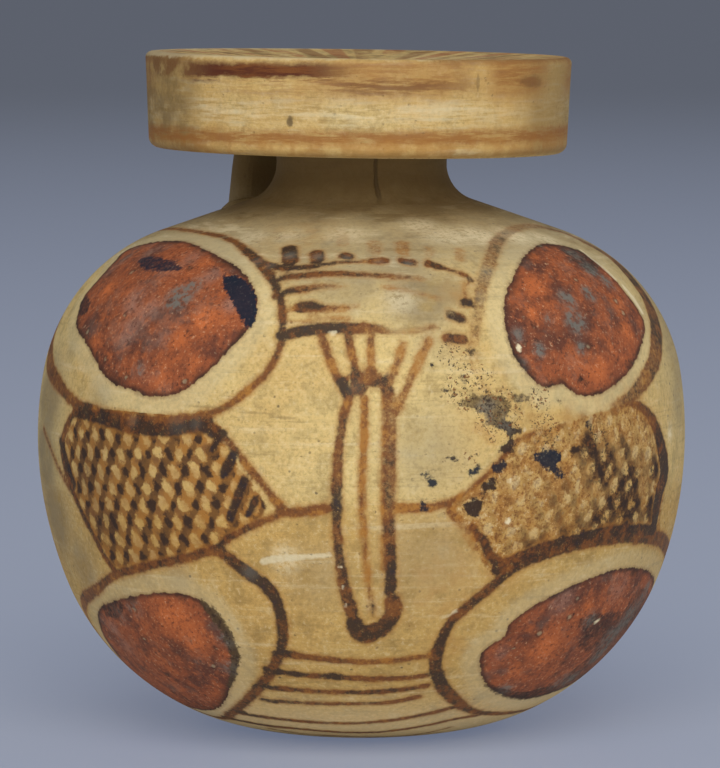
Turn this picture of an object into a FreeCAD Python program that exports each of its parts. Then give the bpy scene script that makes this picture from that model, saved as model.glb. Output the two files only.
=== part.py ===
"""Aryballos: a small round oil flask, thrown in three pieces and luted together with a strap handle.

The globe, the neck and the mouth disc stand on one axis. Soft clay, called luting, seals the neck
to the shoulder and the strap handle to the shoulder and to the underside of the disc.
Millimetres, +Z up, origin at the middle of the base, handle at the back on +Y.
"""

import os

import FreeCAD, Part
import Sketcher
from math import pi

# Driving dimensions, each written once. Everything else follows from them.
SIZES = {
    # globe, outside
    "belly_radius": 31.2,
    "belly_height": 28.4,
    "base_radius": 7.4,
    "base_round_share": 0.958,
    "dimple_radius": 5.4,
    "dimple_depth": 0.6,
    "shoulder_round_share": 0.9765,
    "shoulder_angle": 19.1,
    "slope_share": 0.193,
    "collar_height": 51.0,
    # globe, inside
    "wall_thickness": 3.0,
    "floor_thickness": 3.8,
    "ceiling_share": 0.57,
    # neck and the luting round its foot
    "bore_radius": 4.5,
    "neck_radius": 8.2,
    "neck_exposed": 4.8,
    "luting_depth": 0.8,
    "luting_round": 3.7,
    "socket_depth": 1.2,
    # mouth disc
    "rim_edge_height": 9.2,
    "rim_radius": 20.5,
    "rim_taper": 0.4,
    "rim_top_round": 0.6,
    "rim_low_round": 1.0,
    "underside_rise": 1.0,
    "lip_width": 1.6,
    "dish_depth": 1.1,
    "mouth_round": 1.4,
    # strap handle: how far its head stays in from the rim, how its waist and foot stand further out
    "strap_setback": 2.1,
    "strap_bow": 0.3,
    "strap_splay": 0.6,
    "strap_foot_width": 16.2,
    "strap_waist_width": 15.0,
    "strap_head_width": 13.8,
    "strap_foot_thickness": 4.6,
    "strap_waist_thickness": 4.1,
    "strap_head_thickness": 3.8,
    "strap_corner_round": 1.7,
    "strap_bury": 1.6,
    # luting round the two ends of the strap
    "smear_width": 0.4,
    "smear_height": 0.8,
    "smear_edge": 0.3,
    # one overrun for every cut that has to pass a face
    "overrun": 2.0,
}

SHEET = "Sizes"


def cell(name):
    """The sheet's cell for one driving dimension, as an expression."""
    return f"{SHEET}.{name}"


# Derived sizes, as expressions on the sheet's cells.
SLOPE = f"({cell('shoulder_angle')} * 1 deg)"
SEAT_HEIGHT = f"({cell('collar_height')} - {cell('luting_depth')})"
COLLAR_RADIUS = f"({cell('neck_radius')} + {cell('luting_round')} * (1 - sin({SLOPE})))"
RIM_UNDERSIDE = f"({cell('collar_height')} + {cell('neck_exposed')})"
RIM_LOW_RADIUS = f"({cell('rim_radius')} - {cell('rim_taper')})"
SOCKET_ROOF = f"({cell('underside_rise')} + {cell('socket_depth')})"
HEAD_REACH = f"({RIM_LOW_RADIUS} - {cell('strap_setback')} - {cell('strap_head_thickness')} / 2)"
STRAP_REACH = {
    "foot": f"({HEAD_REACH} + {cell('strap_splay')})",
    "waist": f"({HEAD_REACH} + {cell('strap_bow')})",
    "head": HEAD_REACH,
}

# The sketcher's numbers for the ends and the centre of a curve, and for its two axes.
START, END, CENTRE = range(1, 4)
HORIZONTAL_AXIS, VERTICAL_AXIS = range(-1, -3, -1)


def shoulder_height(reach):
    """Height of the shoulder's straight slope at a distance from the axis, as an expression."""
    return f"({cell('collar_height')} - ({reach} - {COLLAR_RADIUS}) * tan({SLOPE}))"


def number(doc, expression):
    """What an expression comes to with the sizes that the sheet holds."""
    found = doc.getObject(SHEET).evalExpression(expression)
    return float(getattr(found, "Value", found))


def origin_plane(body, role):
    return next(plane for plane in body.Origin.OriginFeatures if plane.Role == role)


class Outline:
    """A closed outline in a sketch of one body. A point is a pair of expressions, across and up.

    Curves are first drawn where those expressions put them, and constraints then hold them there.
    """

    def __init__(self, body, name, role="XZ_Plane", height=None):
        self.doc = body.Document
        self.sketch = body.newObject("Sketcher::SketchObject", name)
        self.sketch.AttachmentSupport = [(origin_plane(body, role), "")]
        self.sketch.MapMode = "FlatFace"
        self.sketch.Visibility = False
        if height is not None:
            self.sketch.setExpression("AttachmentOffset.Base.z", height)

    def place(self, point):
        if isinstance(point, FreeCAD.Vector):
            return point
        across, up = point
        return FreeCAD.Vector(number(self.doc, across), number(self.doc, up), 0)

    def line(self, start, end):
        return self.sketch.addGeometry(Part.LineSegment(self.place(start), self.place(end)), False)

    def arc(self, centre, start, end):
        """Anticlockwise arc from start to end about centre."""
        centre, start, end = self.place(centre), self.place(start), self.place(end)
        circle = Part.Circle(centre, FreeCAD.Vector(0, 0, 1), (start - centre).Length)
        first = circle.parameter(start)
        last = circle.parameter(end)
        if last <= first:
            last += 2 * pi
        return self.sketch.addGeometry(Part.ArcOfCircle(circle, first, last), False)

    def add(self, kind, *values):
        return self.sketch.addConstraint(Sketcher.Constraint(kind, *values))

    def hold(self, expression, kind, *values):
        """A constraint whose size is an expression."""
        index = self.add(kind, *values, number(self.doc, expression))
        self.sketch.setExpression(f"Constraints[{index}]", expression)

    def join(self, *ends):
        """Meet end to end without a condition on direction."""
        for first, first_end, second, second_end in ends:
            self.add("Coincident", first, first_end, second, second_end)

    def blend(self, *ends):
        """Meet end to end in one direction."""
        for first, first_end, second, second_end in ends:
            self.add("Tangent", first, first_end, second, second_end)

    def across(self, piece, end, expression):
        """Distance of a point from the upright axis."""
        self.hold(expression, "DistanceX", HORIZONTAL_AXIS, START, piece, end)

    def up(self, piece, end, expression):
        """Height of a point above the level axis."""
        self.hold(expression, "DistanceY", HORIZONTAL_AXIS, START, piece, end)

    def fix(self, piece, end, point):
        across, up = point
        self.across(piece, end, across)
        self.up(piece, end, up)

    def radius(self, piece, expression):
        self.hold(expression, "Radius", piece)

    def upright(self, *pieces):
        for piece in pieces:
            self.add("Vertical", piece)

    def level(self, *pieces):
        for piece in pieces:
            self.add("Horizontal", piece)

    def on_axis(self, axis, *ends):
        for piece, end in ends:
            self.add("PointOnObject", piece, end, axis)


def new_body(doc, label, height=None):
    body = doc.addObject("PartDesign::Body", label)
    body.Label = label
    if height is not None:
        body.setExpression("Placement.Base.z", height)
    return body


def revolve(body, outline, name):
    turned = body.newObject("PartDesign::Revolution", name)
    turned.Profile = outline.sketch
    turned.ReferenceAxis = (outline.sketch, ["V_Axis"])
    turned.Angle = 360.0
    return body


def fill_sheet(doc):
    sheet = doc.addObject("Spreadsheet::Sheet", SHEET)
    for row, (name, value) in enumerate(SIZES.items(), start=1):
        sheet.set(f"A{row}", name)
        sheet.set(f"B{row}", str(value))
        sheet.setAlias(f"B{row}", name)
    doc.recompute()


def tangent_point(centre, radius, other_centre, other_radius):
    """Where a circle touches another from inside, whichever of them is the smaller."""
    return centre + (other_centre - centre) * (radius / (radius - other_radius))


def draw_wall(outline, inset, floor, slope_end_share):
    """The wall that the globe and its chamber share, drawn in by inset and standing on floor.

    A base arc, a flank arc up to the belly, one on from there, a shoulder arc and the straight slope
    run into each other without a corner. The smaller arc of each pair is a share of the room it has.
    The slope is drawn for a share of its way up to the luting.
    Returns the first and the last curve, and where the slope ends.
    """
    belly = f"({cell('belly_radius')} - {inset})"
    out = f"({belly} - {cell('base_radius')})"
    rise = f"({cell('belly_height')} - {floor})"
    share = cell("base_round_share")
    round_when_flat = f"({out}^2 + {rise}^2 - 2 * {share} * {out} * {rise}) / (2 * {rise} * (1 - {share}))"
    base_round = f"({out} < {rise} ? {share} * {out} : {round_when_flat})"

    # The slope runs on past the point where one arc alone could lead from it to the belly.
    collar_x = f"({COLLAR_RADIUS} - {inset} * sin({SLOPE}))"
    collar_z = f"({cell('collar_height')} - {inset} * cos({SLOPE}))"
    reach = f"({belly} - {collar_x})"
    drop = f"({collar_z} - {cell('belly_height')})"
    least = f"max(0; {reach} * (1 + sin({SLOPE})) - {drop} * cos({SLOPE}))"
    straight = f"({least} + {cell('slope_share')} * ({reach} - {least}))"
    slope_start = (f"({collar_x} + {straight})", f"({collar_z} - {straight} * tan({SLOPE}))")
    left_out = f"((1 - {slope_end_share}) * {straight})"
    slope_end = (f"({collar_x} + {left_out})", f"({collar_z} - {left_out} * tan({SLOPE}))")
    shoulder_room = f"(({belly} - {slope_start[0]}) / (1 - sin({SLOPE})))"
    shoulder_round = f"({cell('shoulder_round_share')} * {shoulder_room})"

    foot_at = outline.place((cell("base_radius"), floor))
    belly_at = outline.place((belly, cell("belly_height")))
    base_arc = number(outline.doc, base_round)
    room = belly_at - foot_at
    low = (room.x ** 2 + room.y ** 2 - 2 * room.y * base_arc) / (2 * (room.x - base_arc))
    base_centre = foot_at + FreeCAD.Vector(0, base_arc, 0)
    low_centre = belly_at - FreeCAD.Vector(low, 0, 0)

    slope_at = outline.place(slope_start)
    uphill = (outline.place(slope_end) - slope_at).normalize()
    shoulder_arc = number(outline.doc, shoulder_round)
    shoulder_centre = slope_at - FreeCAD.Vector(uphill.y, -uphill.x, 0) * shoulder_arc
    gap = belly_at.x - shoulder_centre.x - shoulder_arc
    above_belly = shoulder_centre.y - belly_at.y
    high = shoulder_arc + gap / 2 + above_belly ** 2 / (2 * gap)
    high_centre = belly_at - FreeCAD.Vector(high, 0, 0)

    low_point = tangent_point(low_centre, low, base_centre, base_arc)
    high_point = tangent_point(high_centre, high, shoulder_centre, shoulder_arc)
    base = outline.arc(base_centre, foot_at, low_point)
    low_flank = outline.arc(low_centre, low_point, belly_at)
    high_flank = outline.arc(high_centre, belly_at, high_point)
    shoulder = outline.arc(shoulder_centre, high_point, slope_at)
    slope = outline.line(slope_at, slope_end)

    outline.blend((base, END, low_flank, START), (low_flank, END, high_flank, START),
                  (high_flank, END, shoulder, START), (shoulder, END, slope, START))
    outline.fix(base, START, (cell("base_radius"), floor))
    outline.radius(base, base_round)
    outline.fix(low_flank, END, (belly, cell("belly_height")))
    outline.up(low_flank, CENTRE, cell("belly_height"))
    outline.radius(shoulder, shoulder_round)
    outline.fix(slope, START, slope_start)
    outline.fix(slope, END, slope_end)
    return base, slope, slope_end


def make_globe(doc):
    """The thrown globe as a solid form, up to the flat seat for the neck."""
    body = new_body(doc, "globe_form")
    outline = Outline(body, "globe_outline")
    dimple_edge, dimple_top = cell("dimple_radius"), cell("dimple_depth")
    dimple_centre = f"({dimple_top} - ({dimple_edge}^2 + {dimple_top}^2) / (2 * {dimple_top}))"

    base, slope, collar = draw_wall(outline, "0", "0", "1")
    dimple = outline.arc(("0", dimple_centre), (dimple_edge, "0"), ("0", dimple_top))
    rest = outline.line((dimple_edge, "0"), (cell("base_radius"), "0"))
    step = outline.line(collar, (COLLAR_RADIUS, SEAT_HEIGHT))
    seat = outline.line((COLLAR_RADIUS, SEAT_HEIGHT), ("0", SEAT_HEIGHT))
    axis = outline.line(("0", SEAT_HEIGHT), ("0", dimple_top))

    outline.join((dimple, START, rest, START), (slope, END, step, START), (step, END, seat, START),
                 (seat, END, axis, START), (axis, END, dimple, END))
    outline.blend((rest, END, base, START))
    outline.on_axis(VERTICAL_AXIS, (dimple, CENTRE), (dimple, END), (seat, END))
    outline.on_axis(HORIZONTAL_AXIS, (dimple, START))
    outline.upright(step)
    outline.level(seat)
    outline.across(dimple, START, dimple_edge)
    outline.up(dimple, END, dimple_top)
    outline.up(seat, START, SEAT_HEIGHT)
    return revolve(body, outline, "globe_turned")


def make_chamber(doc):
    """The space inside the globe and its throat, as the solid that is taken out."""
    body = new_body(doc, "chamber_form")
    outline = Outline(body, "chamber_outline")
    bore, floor = cell("bore_radius"), cell("floor_thickness")
    above = f"({SEAT_HEIGHT} + {cell('overrun')})"

    base, slope, corner = draw_wall(outline, cell("wall_thickness"), floor, cell("ceiling_share"))
    roof = corner[1]
    ceiling = outline.line(corner, (bore, roof))
    throat = outline.line((bore, roof), (bore, above))
    top = outline.line((bore, above), ("0", above))
    axis = outline.line(("0", above), ("0", floor))
    bottom = outline.line(("0", floor), (cell("base_radius"), floor))

    outline.join((slope, END, ceiling, START), (ceiling, END, throat, START), (throat, END, top, START),
                 (top, END, axis, START), (axis, END, bottom, START))
    outline.blend((bottom, END, base, START))
    outline.on_axis(VERTICAL_AXIS, (top, END), (axis, END))
    outline.level(ceiling, top)
    outline.upright(throat)
    outline.across(throat, START, bore)
    outline.up(throat, END, above)
    return revolve(body, outline, "chamber_turned")


def make_neck(doc):
    """A plain thrown tube that stands on the seat and ends in the socket under the disc."""
    body = new_body(doc, "neck", SEAT_HEIGHT)
    outline = Outline(body, "neck_outline")
    inner, outer = cell("bore_radius"), cell("neck_radius")
    length = f"({RIM_UNDERSIDE} + {SOCKET_ROOF} - {SEAT_HEIGHT})"

    foot = outline.line((inner, "0"), (outer, "0"))
    outside = outline.line((outer, "0"), (outer, length))
    head = outline.line((outer, length), (inner, length))
    inside = outline.line((inner, length), (inner, "0"))

    outline.join((foot, END, outside, START), (outside, END, head, START),
                 (head, END, inside, START), (inside, END, foot, START))
    outline.upright(outside, inside)
    outline.level(head)
    outline.on_axis(HORIZONTAL_AXIS, (foot, START), (foot, END))
    outline.across(foot, START, inner)
    outline.across(foot, END, outer)
    outline.up(head, START, length)
    return revolve(body, outline, "neck_turned")


def make_neck_luting(doc):
    """The ring of luting that fills the step round the neck's foot and sweeps up it."""
    body = new_body(doc, "neck_luting", SEAT_HEIGHT)
    outline = Outline(body, "neck_luting_outline")
    inner, depth = cell("neck_radius"), cell("luting_depth")
    centre = (f"({inner} + {cell('luting_round')})", f"({depth} + {cell('luting_round')} * cos({SLOPE}))")

    foot = outline.line((inner, "0"), (COLLAR_RADIUS, "0"))
    step = outline.line((COLLAR_RADIUS, "0"), (COLLAR_RADIUS, depth))
    hollow = outline.arc(centre, (inner, centre[1]), (COLLAR_RADIUS, depth))
    inside = outline.line((inner, centre[1]), (inner, "0"))

    outline.join((foot, END, step, START), (step, END, hollow, END),
                 (hollow, START, inside, START), (inside, END, foot, START))
    outline.upright(step)
    outline.on_axis(HORIZONTAL_AXIS, (foot, START), (foot, END))
    outline.across(foot, START, inner)
    outline.up(step, END, depth)
    outline.fix(hollow, START, (inner, centre[1]))
    outline.fix(hollow, CENTRE, centre)
    return revolve(body, outline, "neck_luting_turned")


def make_mouth_disc(doc):
    """The thick disc: dished on top towards the bore, socketed underneath for the neck."""
    body = new_body(doc, "mouth_disc", RIM_UNDERSIDE)
    outline = Outline(body, "mouth_disc_outline")
    bore, neck = cell("bore_radius"), cell("neck_radius")
    low, top = RIM_LOW_RADIUS, cell("rim_radius")
    edge, rise = cell("rim_edge_height"), cell("underside_rise")
    low_round, top_round, mouth = cell("rim_low_round"), cell("rim_top_round"), cell("mouth_round")
    low_in, top_in = f"({low} - {low_round})", f"({top} - {top_round})"
    lip = f"({top} - {cell('lip_width')})"
    shoulder = f"({edge} - {top_round})"
    dish = f"({edge} - {cell('dish_depth')})"
    mouth_out, mouth_down = f"({bore} + {mouth})", f"({dish} - {mouth})"

    socket_roof = outline.line((bore, SOCKET_ROOF), (neck, SOCKET_ROOF))
    socket_wall = outline.line((neck, SOCKET_ROOF), (neck, rise))
    underside = outline.line((neck, rise), (low_in, "0"))
    low_corner = outline.arc((low_in, low_round), (low_in, "0"), (low, low_round))
    face = outline.line((low, low_round), (top, shoulder))
    top_corner = outline.arc((top_in, shoulder), (top, shoulder), (top_in, edge))
    lip_flat = outline.line((top_in, edge), (lip, edge))
    dish_slope = outline.line((lip, edge), (mouth_out, dish))
    mouth_corner = outline.arc((mouth_out, mouth_down), (mouth_out, dish), (bore, mouth_down))
    inside = outline.line((bore, mouth_down), (bore, SOCKET_ROOF))

    outline.join((socket_roof, END, socket_wall, START), (socket_wall, END, underside, START),
                 (underside, END, low_corner, START), (lip_flat, END, dish_slope, START),
                 (dish_slope, END, mouth_corner, START), (inside, END, socket_roof, START))
    outline.blend((low_corner, END, face, START), (face, END, top_corner, START),
                  (top_corner, END, lip_flat, START), (mouth_corner, END, inside, START))
    outline.level(socket_roof, lip_flat)
    outline.upright(socket_wall, inside)
    outline.on_axis(HORIZONTAL_AXIS, (underside, END))
    outline.across(inside, END, bore)
    outline.fix(socket_wall, START, (neck, SOCKET_ROOF))
    outline.up(socket_wall, END, rise)
    outline.across(underside, END, low_in)
    outline.across(low_corner, CENTRE, low_in)
    outline.radius(low_corner, low_round)
    outline.across(top_corner, CENTRE, top_in)
    outline.radius(top_corner, top_round)
    outline.fix(lip_flat, END, (lip, edge))
    outline.fix(dish_slope, END, (mouth_out, dish))
    outline.across(mouth_corner, CENTRE, mouth_out)
    return revolve(body, outline, "mouth_disc_turned")


def draw_rounded_section(outline, width, front, back, corner):
    """A rounded rectangle across the strap, symmetric about the axis and lying from front to back."""
    right, left = f"({width} / 2)", f"(-{width} / 2)"
    inner_right, inner_left = f"({right} - {corner})", f"({left} + {corner})"
    inner_front, inner_back = f"({front} + {corner})", f"({back} - {corner})"
    arcs = [
        outline.arc((inner_right, inner_back), (right, inner_back), (inner_right, back)),
        outline.arc((inner_left, inner_back), (inner_left, back), (left, inner_back)),
        outline.arc((inner_left, inner_front), (left, inner_front), (inner_left, front)),
        outline.arc((inner_right, inner_front), (inner_right, front), (right, inner_front)),
    ]
    sides = [
        outline.line((inner_right, back), (inner_left, back)),
        outline.line((left, inner_back), (left, inner_front)),
        outline.line((inner_left, front), (inner_right, front)),
        outline.line((right, inner_front), (right, inner_back)),
    ]
    for arc, side, following in zip(arcs, sides, arcs[1:] + arcs[:1]):
        outline.blend((arc, END, side, START), (side, END, following, START))
    for arc, following in zip(arcs, arcs[1:]):
        outline.add("Equal", arc, following)
    back_side, left_side, front_side, right_side = sides
    outline.upright(left_side, right_side)
    outline.level(front_side)
    outline.add("Symmetric", back_side, START, back_side, END, VERTICAL_AXIS)
    outline.radius(arcs[0], corner)
    outline.across(right_side, START, right)
    outline.up(back_side, START, back)
    outline.up(front_side, START, front)


def strap_faces(station):
    """How far out the strap's front and back faces stand at one station, as expressions."""
    half = f"{cell(f'strap_{station}_thickness')} / 2"
    return f"({STRAP_REACH[station]} - {half})", f"({STRAP_REACH[station]} + {half})"


def make_strap(doc):
    """The strap as it leaves the potter's hand, both ends still long, lofted through three sections."""
    body = new_body(doc, "strap_form")
    foot_back = strap_faces("foot")[-1]
    heights = {
        "foot": f"{shoulder_height(foot_back)} - {cell('strap_bury')}",
        "waist": f"({cell('collar_height')} + {RIM_UNDERSIDE}) / 2",
        "head": f"{RIM_UNDERSIDE} + {cell('underside_rise')} + {cell('strap_bury')}",
    }
    sections = []
    for station, height in heights.items():
        outline = Outline(body, f"strap_{station}", "XY_Plane", height)
        front, back = strap_faces(station)
        draw_rounded_section(outline, cell(f"strap_{station}_width"), front, back, cell("strap_corner_round"))
        sections.append(outline.sketch)
    loft = body.newObject("PartDesign::AdditiveLoft", "strap_loft")
    loft.Profile = sections[0]
    loft.Sections = sections[1:]
    loft.Ruled = False
    return body


def make_smear(doc, label, station, upward):
    """A bevelled collar of luting round one end of the strap, before the neighbours are cut away.

    Its wide end lies in the piece that the strap meets. It narrows away from there to an edge that
    stands clear of the strap all round, whichever of the end and the waist is the larger.
    """
    body = new_body(doc, label)
    outline = Outline(body, f"{label}_outline", "XY_Plane")
    length = f"({cell('smear_height')} + {cell('overrun')})"
    spread = f"({cell('smear_edge')} + {cell('smear_width')} * {length} / {cell('smear_height')})"
    end_front, end_back = strap_faces(station)
    waist_front, waist_back = strap_faces("waist")
    reach = STRAP_REACH[station]
    width = f"(max({cell(f'strap_{station}_width')}; {cell('strap_waist_width')}) + 2 * {spread})"
    front = f"(min({end_front}; {waist_front}) - {reach} - {spread})"
    back = f"(max({end_back}; {waist_back}) - {reach} + {spread})"
    draw_rounded_section(outline, width, front, back, f"({cell('strap_corner_round')} + {spread})")

    pad = body.newObject("PartDesign::Pad", f"{label}_pad")
    pad.Profile = outline.sketch
    pad.Reversed = not upward
    pad.setExpression("Length", length)
    pad.setExpression("TaperAngle", f"-atan({cell('smear_width')} / {cell('smear_height')})")
    return body, length


def make_foot_smear(doc):
    """The luting on the shoulder. It stands square to the slope, and its edge is centred on the strap."""
    smear, length = make_smear(doc, "foot_smear_form", "foot", True)
    reach = STRAP_REACH["foot"]
    edge_height = f"({shoulder_height(reach)} + {cell('smear_height')} / cos({SLOPE}))"
    smear.setExpression("Placement.Base.y", f"{reach} - {length} * sin({SLOPE})")
    smear.setExpression("Placement.Base.z", f"{edge_height} - {length} * cos({SLOPE})")
    smear.setExpression("Placement.Rotation.Angle", SLOPE)
    smear.Placement.Rotation.Axis = FreeCAD.Vector(-1, 0, 0)
    return smear


def make_head_smear(doc):
    """The luting under the disc, kept in from the disc's edge so that none of it stands out past it."""
    smear, length = make_smear(doc, "head_smear_form", "head", False)
    smear.setExpression("Placement.Base.y", STRAP_REACH["head"])
    smear.setExpression("Placement.Base.z", f"{RIM_UNDERSIDE} - {cell('smear_height')} + {length}")
    under_disc = doc.addObject("Part::Cylinder", "under_disc")
    under_disc.setExpression("Radius", RIM_LOW_RADIUS)
    under_disc.setExpression("Height", f"{RIM_UNDERSIDE} + {cell('rim_edge_height')}")
    kept = doc.addObject("Part::Common", "head_smear_trimmed")
    kept.Base = smear
    kept.Tool = under_disc
    return kept


def cut(doc, label, base, tool):
    """One piece with the space of its neighbour taken out of it."""
    trimmed = doc.addObject("Part::Cut", label)
    trimmed.Label = label
    trimmed.Base = base
    trimmed.Tool = tool
    return trimmed


def build(doc):
    """All pieces in place. Returns the ones that make up the vessel."""
    globe = make_globe(doc)
    neck = make_neck(doc)
    neck_luting = make_neck_luting(doc)
    mouth_disc = make_mouth_disc(doc)
    strap = make_strap(doc)

    body = cut(doc, "body", globe, make_chamber(doc))
    strap_on_shoulder = cut(doc, "strap_on_shoulder", strap, globe)
    handle = cut(doc, "handle", strap_on_shoulder, mouth_disc)
    foot_on_shoulder = cut(doc, "foot_smear_on_shoulder", make_foot_smear(doc), globe)
    foot_luting = cut(doc, "handle_foot_luting", foot_on_shoulder, strap)
    head_under_disc = cut(doc, "head_smear_under_disc", make_head_smear(doc), mouth_disc)
    head_luting = cut(doc, "handle_head_luting", head_under_disc, strap)
    return [body, neck, neck_luting, mouth_disc, handle, foot_luting, head_luting]


def check(doc, pieces):
    """Stop if anything failed to build, or a piece is not one sound solid."""
    for item in doc.Objects:
        if "Invalid" in item.State or "Error" in item.State:
            raise RuntimeError(f"{item.Label} did not build: {item.State}")
    for piece in pieces:
        shape = piece.Shape
        if shape.isNull() or not shape.isValid() or len(shape.Solids) != 1:
            raise RuntimeError(f"{piece.Label} is not one sound solid")


def main():
    doc = FreeCAD.newDocument("aryballos")
    fill_sheet(doc)
    pieces = build(doc)
    doc.recompute()
    check(doc, pieces)
    os.makedirs("parts", exist_ok=True)
    for piece in pieces:
        piece.Shape.exportStep(f"parts/{piece.Label}.step")
        print(f"{piece.Label}: {piece.Shape.Volume:.1f} mm3")


main()
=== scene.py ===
import math
from collections import namedtuple

import bpy
import numpy as np
from bpy.props import FloatProperty, FloatVectorProperty, PointerProperty
from mathutils import Euler, Matrix, Vector


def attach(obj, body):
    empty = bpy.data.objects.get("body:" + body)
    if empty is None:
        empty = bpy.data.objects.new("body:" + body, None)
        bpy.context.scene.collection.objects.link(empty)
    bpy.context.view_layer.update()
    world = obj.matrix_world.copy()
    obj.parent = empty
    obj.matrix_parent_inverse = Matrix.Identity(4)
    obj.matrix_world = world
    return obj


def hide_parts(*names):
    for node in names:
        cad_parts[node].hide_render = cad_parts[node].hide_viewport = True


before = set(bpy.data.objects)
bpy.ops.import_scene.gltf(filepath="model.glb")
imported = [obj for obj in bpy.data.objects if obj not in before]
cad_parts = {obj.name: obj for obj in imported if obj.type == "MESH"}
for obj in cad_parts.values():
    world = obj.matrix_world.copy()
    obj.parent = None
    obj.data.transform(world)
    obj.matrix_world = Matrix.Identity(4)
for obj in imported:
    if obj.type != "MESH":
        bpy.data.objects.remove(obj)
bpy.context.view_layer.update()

bl_info = {
    "name": "Quatrefoil Aryballos",
    "version": (1, 0, 0),
    "blender": (4, 5, 0),
    "location": "3D View > Sidebar > Aryballos",
    "description": "Models and paints a small round oil flask over its packed frame",
    "category": "Object",
}

MM = 0.001
PHOTO_WIDTH = 720
PHOTO_HEIGHT = 768
# The width of the camera's sensor in millimetres, and where the camera stands round the axis in degrees.
SENSOR = 36
VIEW_AZIMUTH = -20.0
PROPERTY = "aryballos"


# Sizes and colours


def length(label, millimetres, description):
    """A length that a user may change, given here in millimetres."""
    metres = millimetres * MM
    return FloatProperty(name=label, description=description, default=metres, precision=5, unit="LENGTH")


def share(label, value, description):
    return FloatProperty(name=label, description=description, default=value, subtype="FACTOR")


def turn(label, degrees, description):
    angle = math.radians(degrees)
    return FloatProperty(name=label, description=description, default=angle, precision=5, unit="ROTATION")


def light_value(step):
    """One channel of a colour on screen, 0 to 255, as the light that it stands for."""
    part = step / 255
    return part / 12.92 if part <= 0.04045 else ((part + 0.055) / 1.055) ** 2.4


def colour(label, red, green, blue, description):
    """A colour that a user may change, given here as it looks on screen."""
    light = tuple(light_value(step) for step in (red, green, blue))
    return FloatVectorProperty(
        name=label, description=description, default=light, subtype="COLOR", min=0, max=1
    )


class GlobeSizes(bpy.types.PropertyGroup):
    belly_radius: length("Belly Radius", 31.2, "Widest radius of the globe")
    belly_height: length("Belly Height", 28.4, "Height of the widest point")
    base_radius: length("Base Radius", 7.4, "Radius of the ring that the globe stands on")
    base_round: share("Base Round", 0.958, "Share of its room that the base arc takes")
    dimple_radius: length("Dimple Radius", 5.4, "Radius of the hollow under the base")
    dimple_depth: length("Dimple Depth", 0.6, "Depth of the hollow under the base")
    shoulder_round: share("Shoulder Round", 0.9765, "Share of its room that the shoulder arc takes")
    shoulder_angle: turn("Shoulder Angle", 19.1, "How far the top of the shoulder slopes")
    slope_share: share("Slope Share", 0.193, "Share of the free room that the straight slope takes")
    collar_height: length("Collar Height", 51.0, "Height at which the slope meets the luting")
    wall: length("Wall", 3.0, "Thickness of the wall")
    floor: length("Floor", 3.8, "Thickness of the floor")
    ceiling_share: share("Ceiling Share", 0.57, "Share of the inner slope below the flat ceiling")
    grain: length("Row Spacing", 0.37, "Distance between the points of the painted surface")
    wobble: length("Wobble", 0.12, "How far the potter's hand strays from a true circle")


class NeckSizes(bpy.types.PropertyGroup):
    bore: length("Bore", 4.5, "Radius of the pouring passage")
    radius: length("Radius", 8.2, "Radius of the neck outside")
    exposed: length("Exposed", 4.8, "Height of neck between the shoulder and the disc")
    luting_depth: length("Luting Depth", 0.8, "How deep the luting is let into the shoulder")
    luting_round: length("Luting Round", 3.7, "Radius of the luting's hollow sweep")
    socket: length("Socket", 1.2, "How far the neck goes into the disc")


class DiscSizes(bpy.types.PropertyGroup):
    radius: length("Radius", 20.5, "Radius of the disc at its top")
    height: length("Height", 9.2, "Height of the disc's edge")
    taper: length("Taper", 0.4, "How much narrower the disc is at its foot")
    top_round: length("Top Round", 0.6, "Rounding of the upper edge")
    low_round: length("Low Round", 1.0, "Rounding of the lower edge")
    rise: length("Rise", 1.0, "How far the underside rises towards the neck")
    lip: length("Lip", 1.6, "Width of the flat lip with its rounding")
    dish: length("Dish", 1.1, "How far the top falls towards the mouth")
    mouth_round: length("Mouth Round", 1.4, "Rounding of the mouth")
    tilt: turn("Tilt", 0.89, "How far the disc leans to the viewer's right")
    stray: length("Stray", 0.3, "How far the disc sits to the viewer's left")


class StrapSizes(bpy.types.PropertyGroup):
    setback: length("Setback", 2.1, "How far the head stays in from the disc's lower edge")
    bow: length("Bow", 0.3, "How much further out the waist stands than the head")
    splay: length("Splay", 0.6, "How much further out the foot stands than the head")
    foot_width: length("Foot Width", 16.2, "Width of the strap on the shoulder")
    waist_width: length("Waist Width", 15.0, "Width of the strap half way up")
    head_width: length("Head Width", 13.8, "Width of the strap under the disc")
    foot_thickness: length("Foot Thickness", 4.6, "Thickness on the shoulder")
    waist_thickness: length("Waist Thickness", 4.1, "Thickness half way up")
    head_thickness: length("Head Thickness", 3.8, "Thickness under the disc")
    corner: length("Corner", 1.7, "Rounding of the strap's long edges")
    bury: length("Bury", 1.6, "How far each end is sunk into its neighbour")


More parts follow.
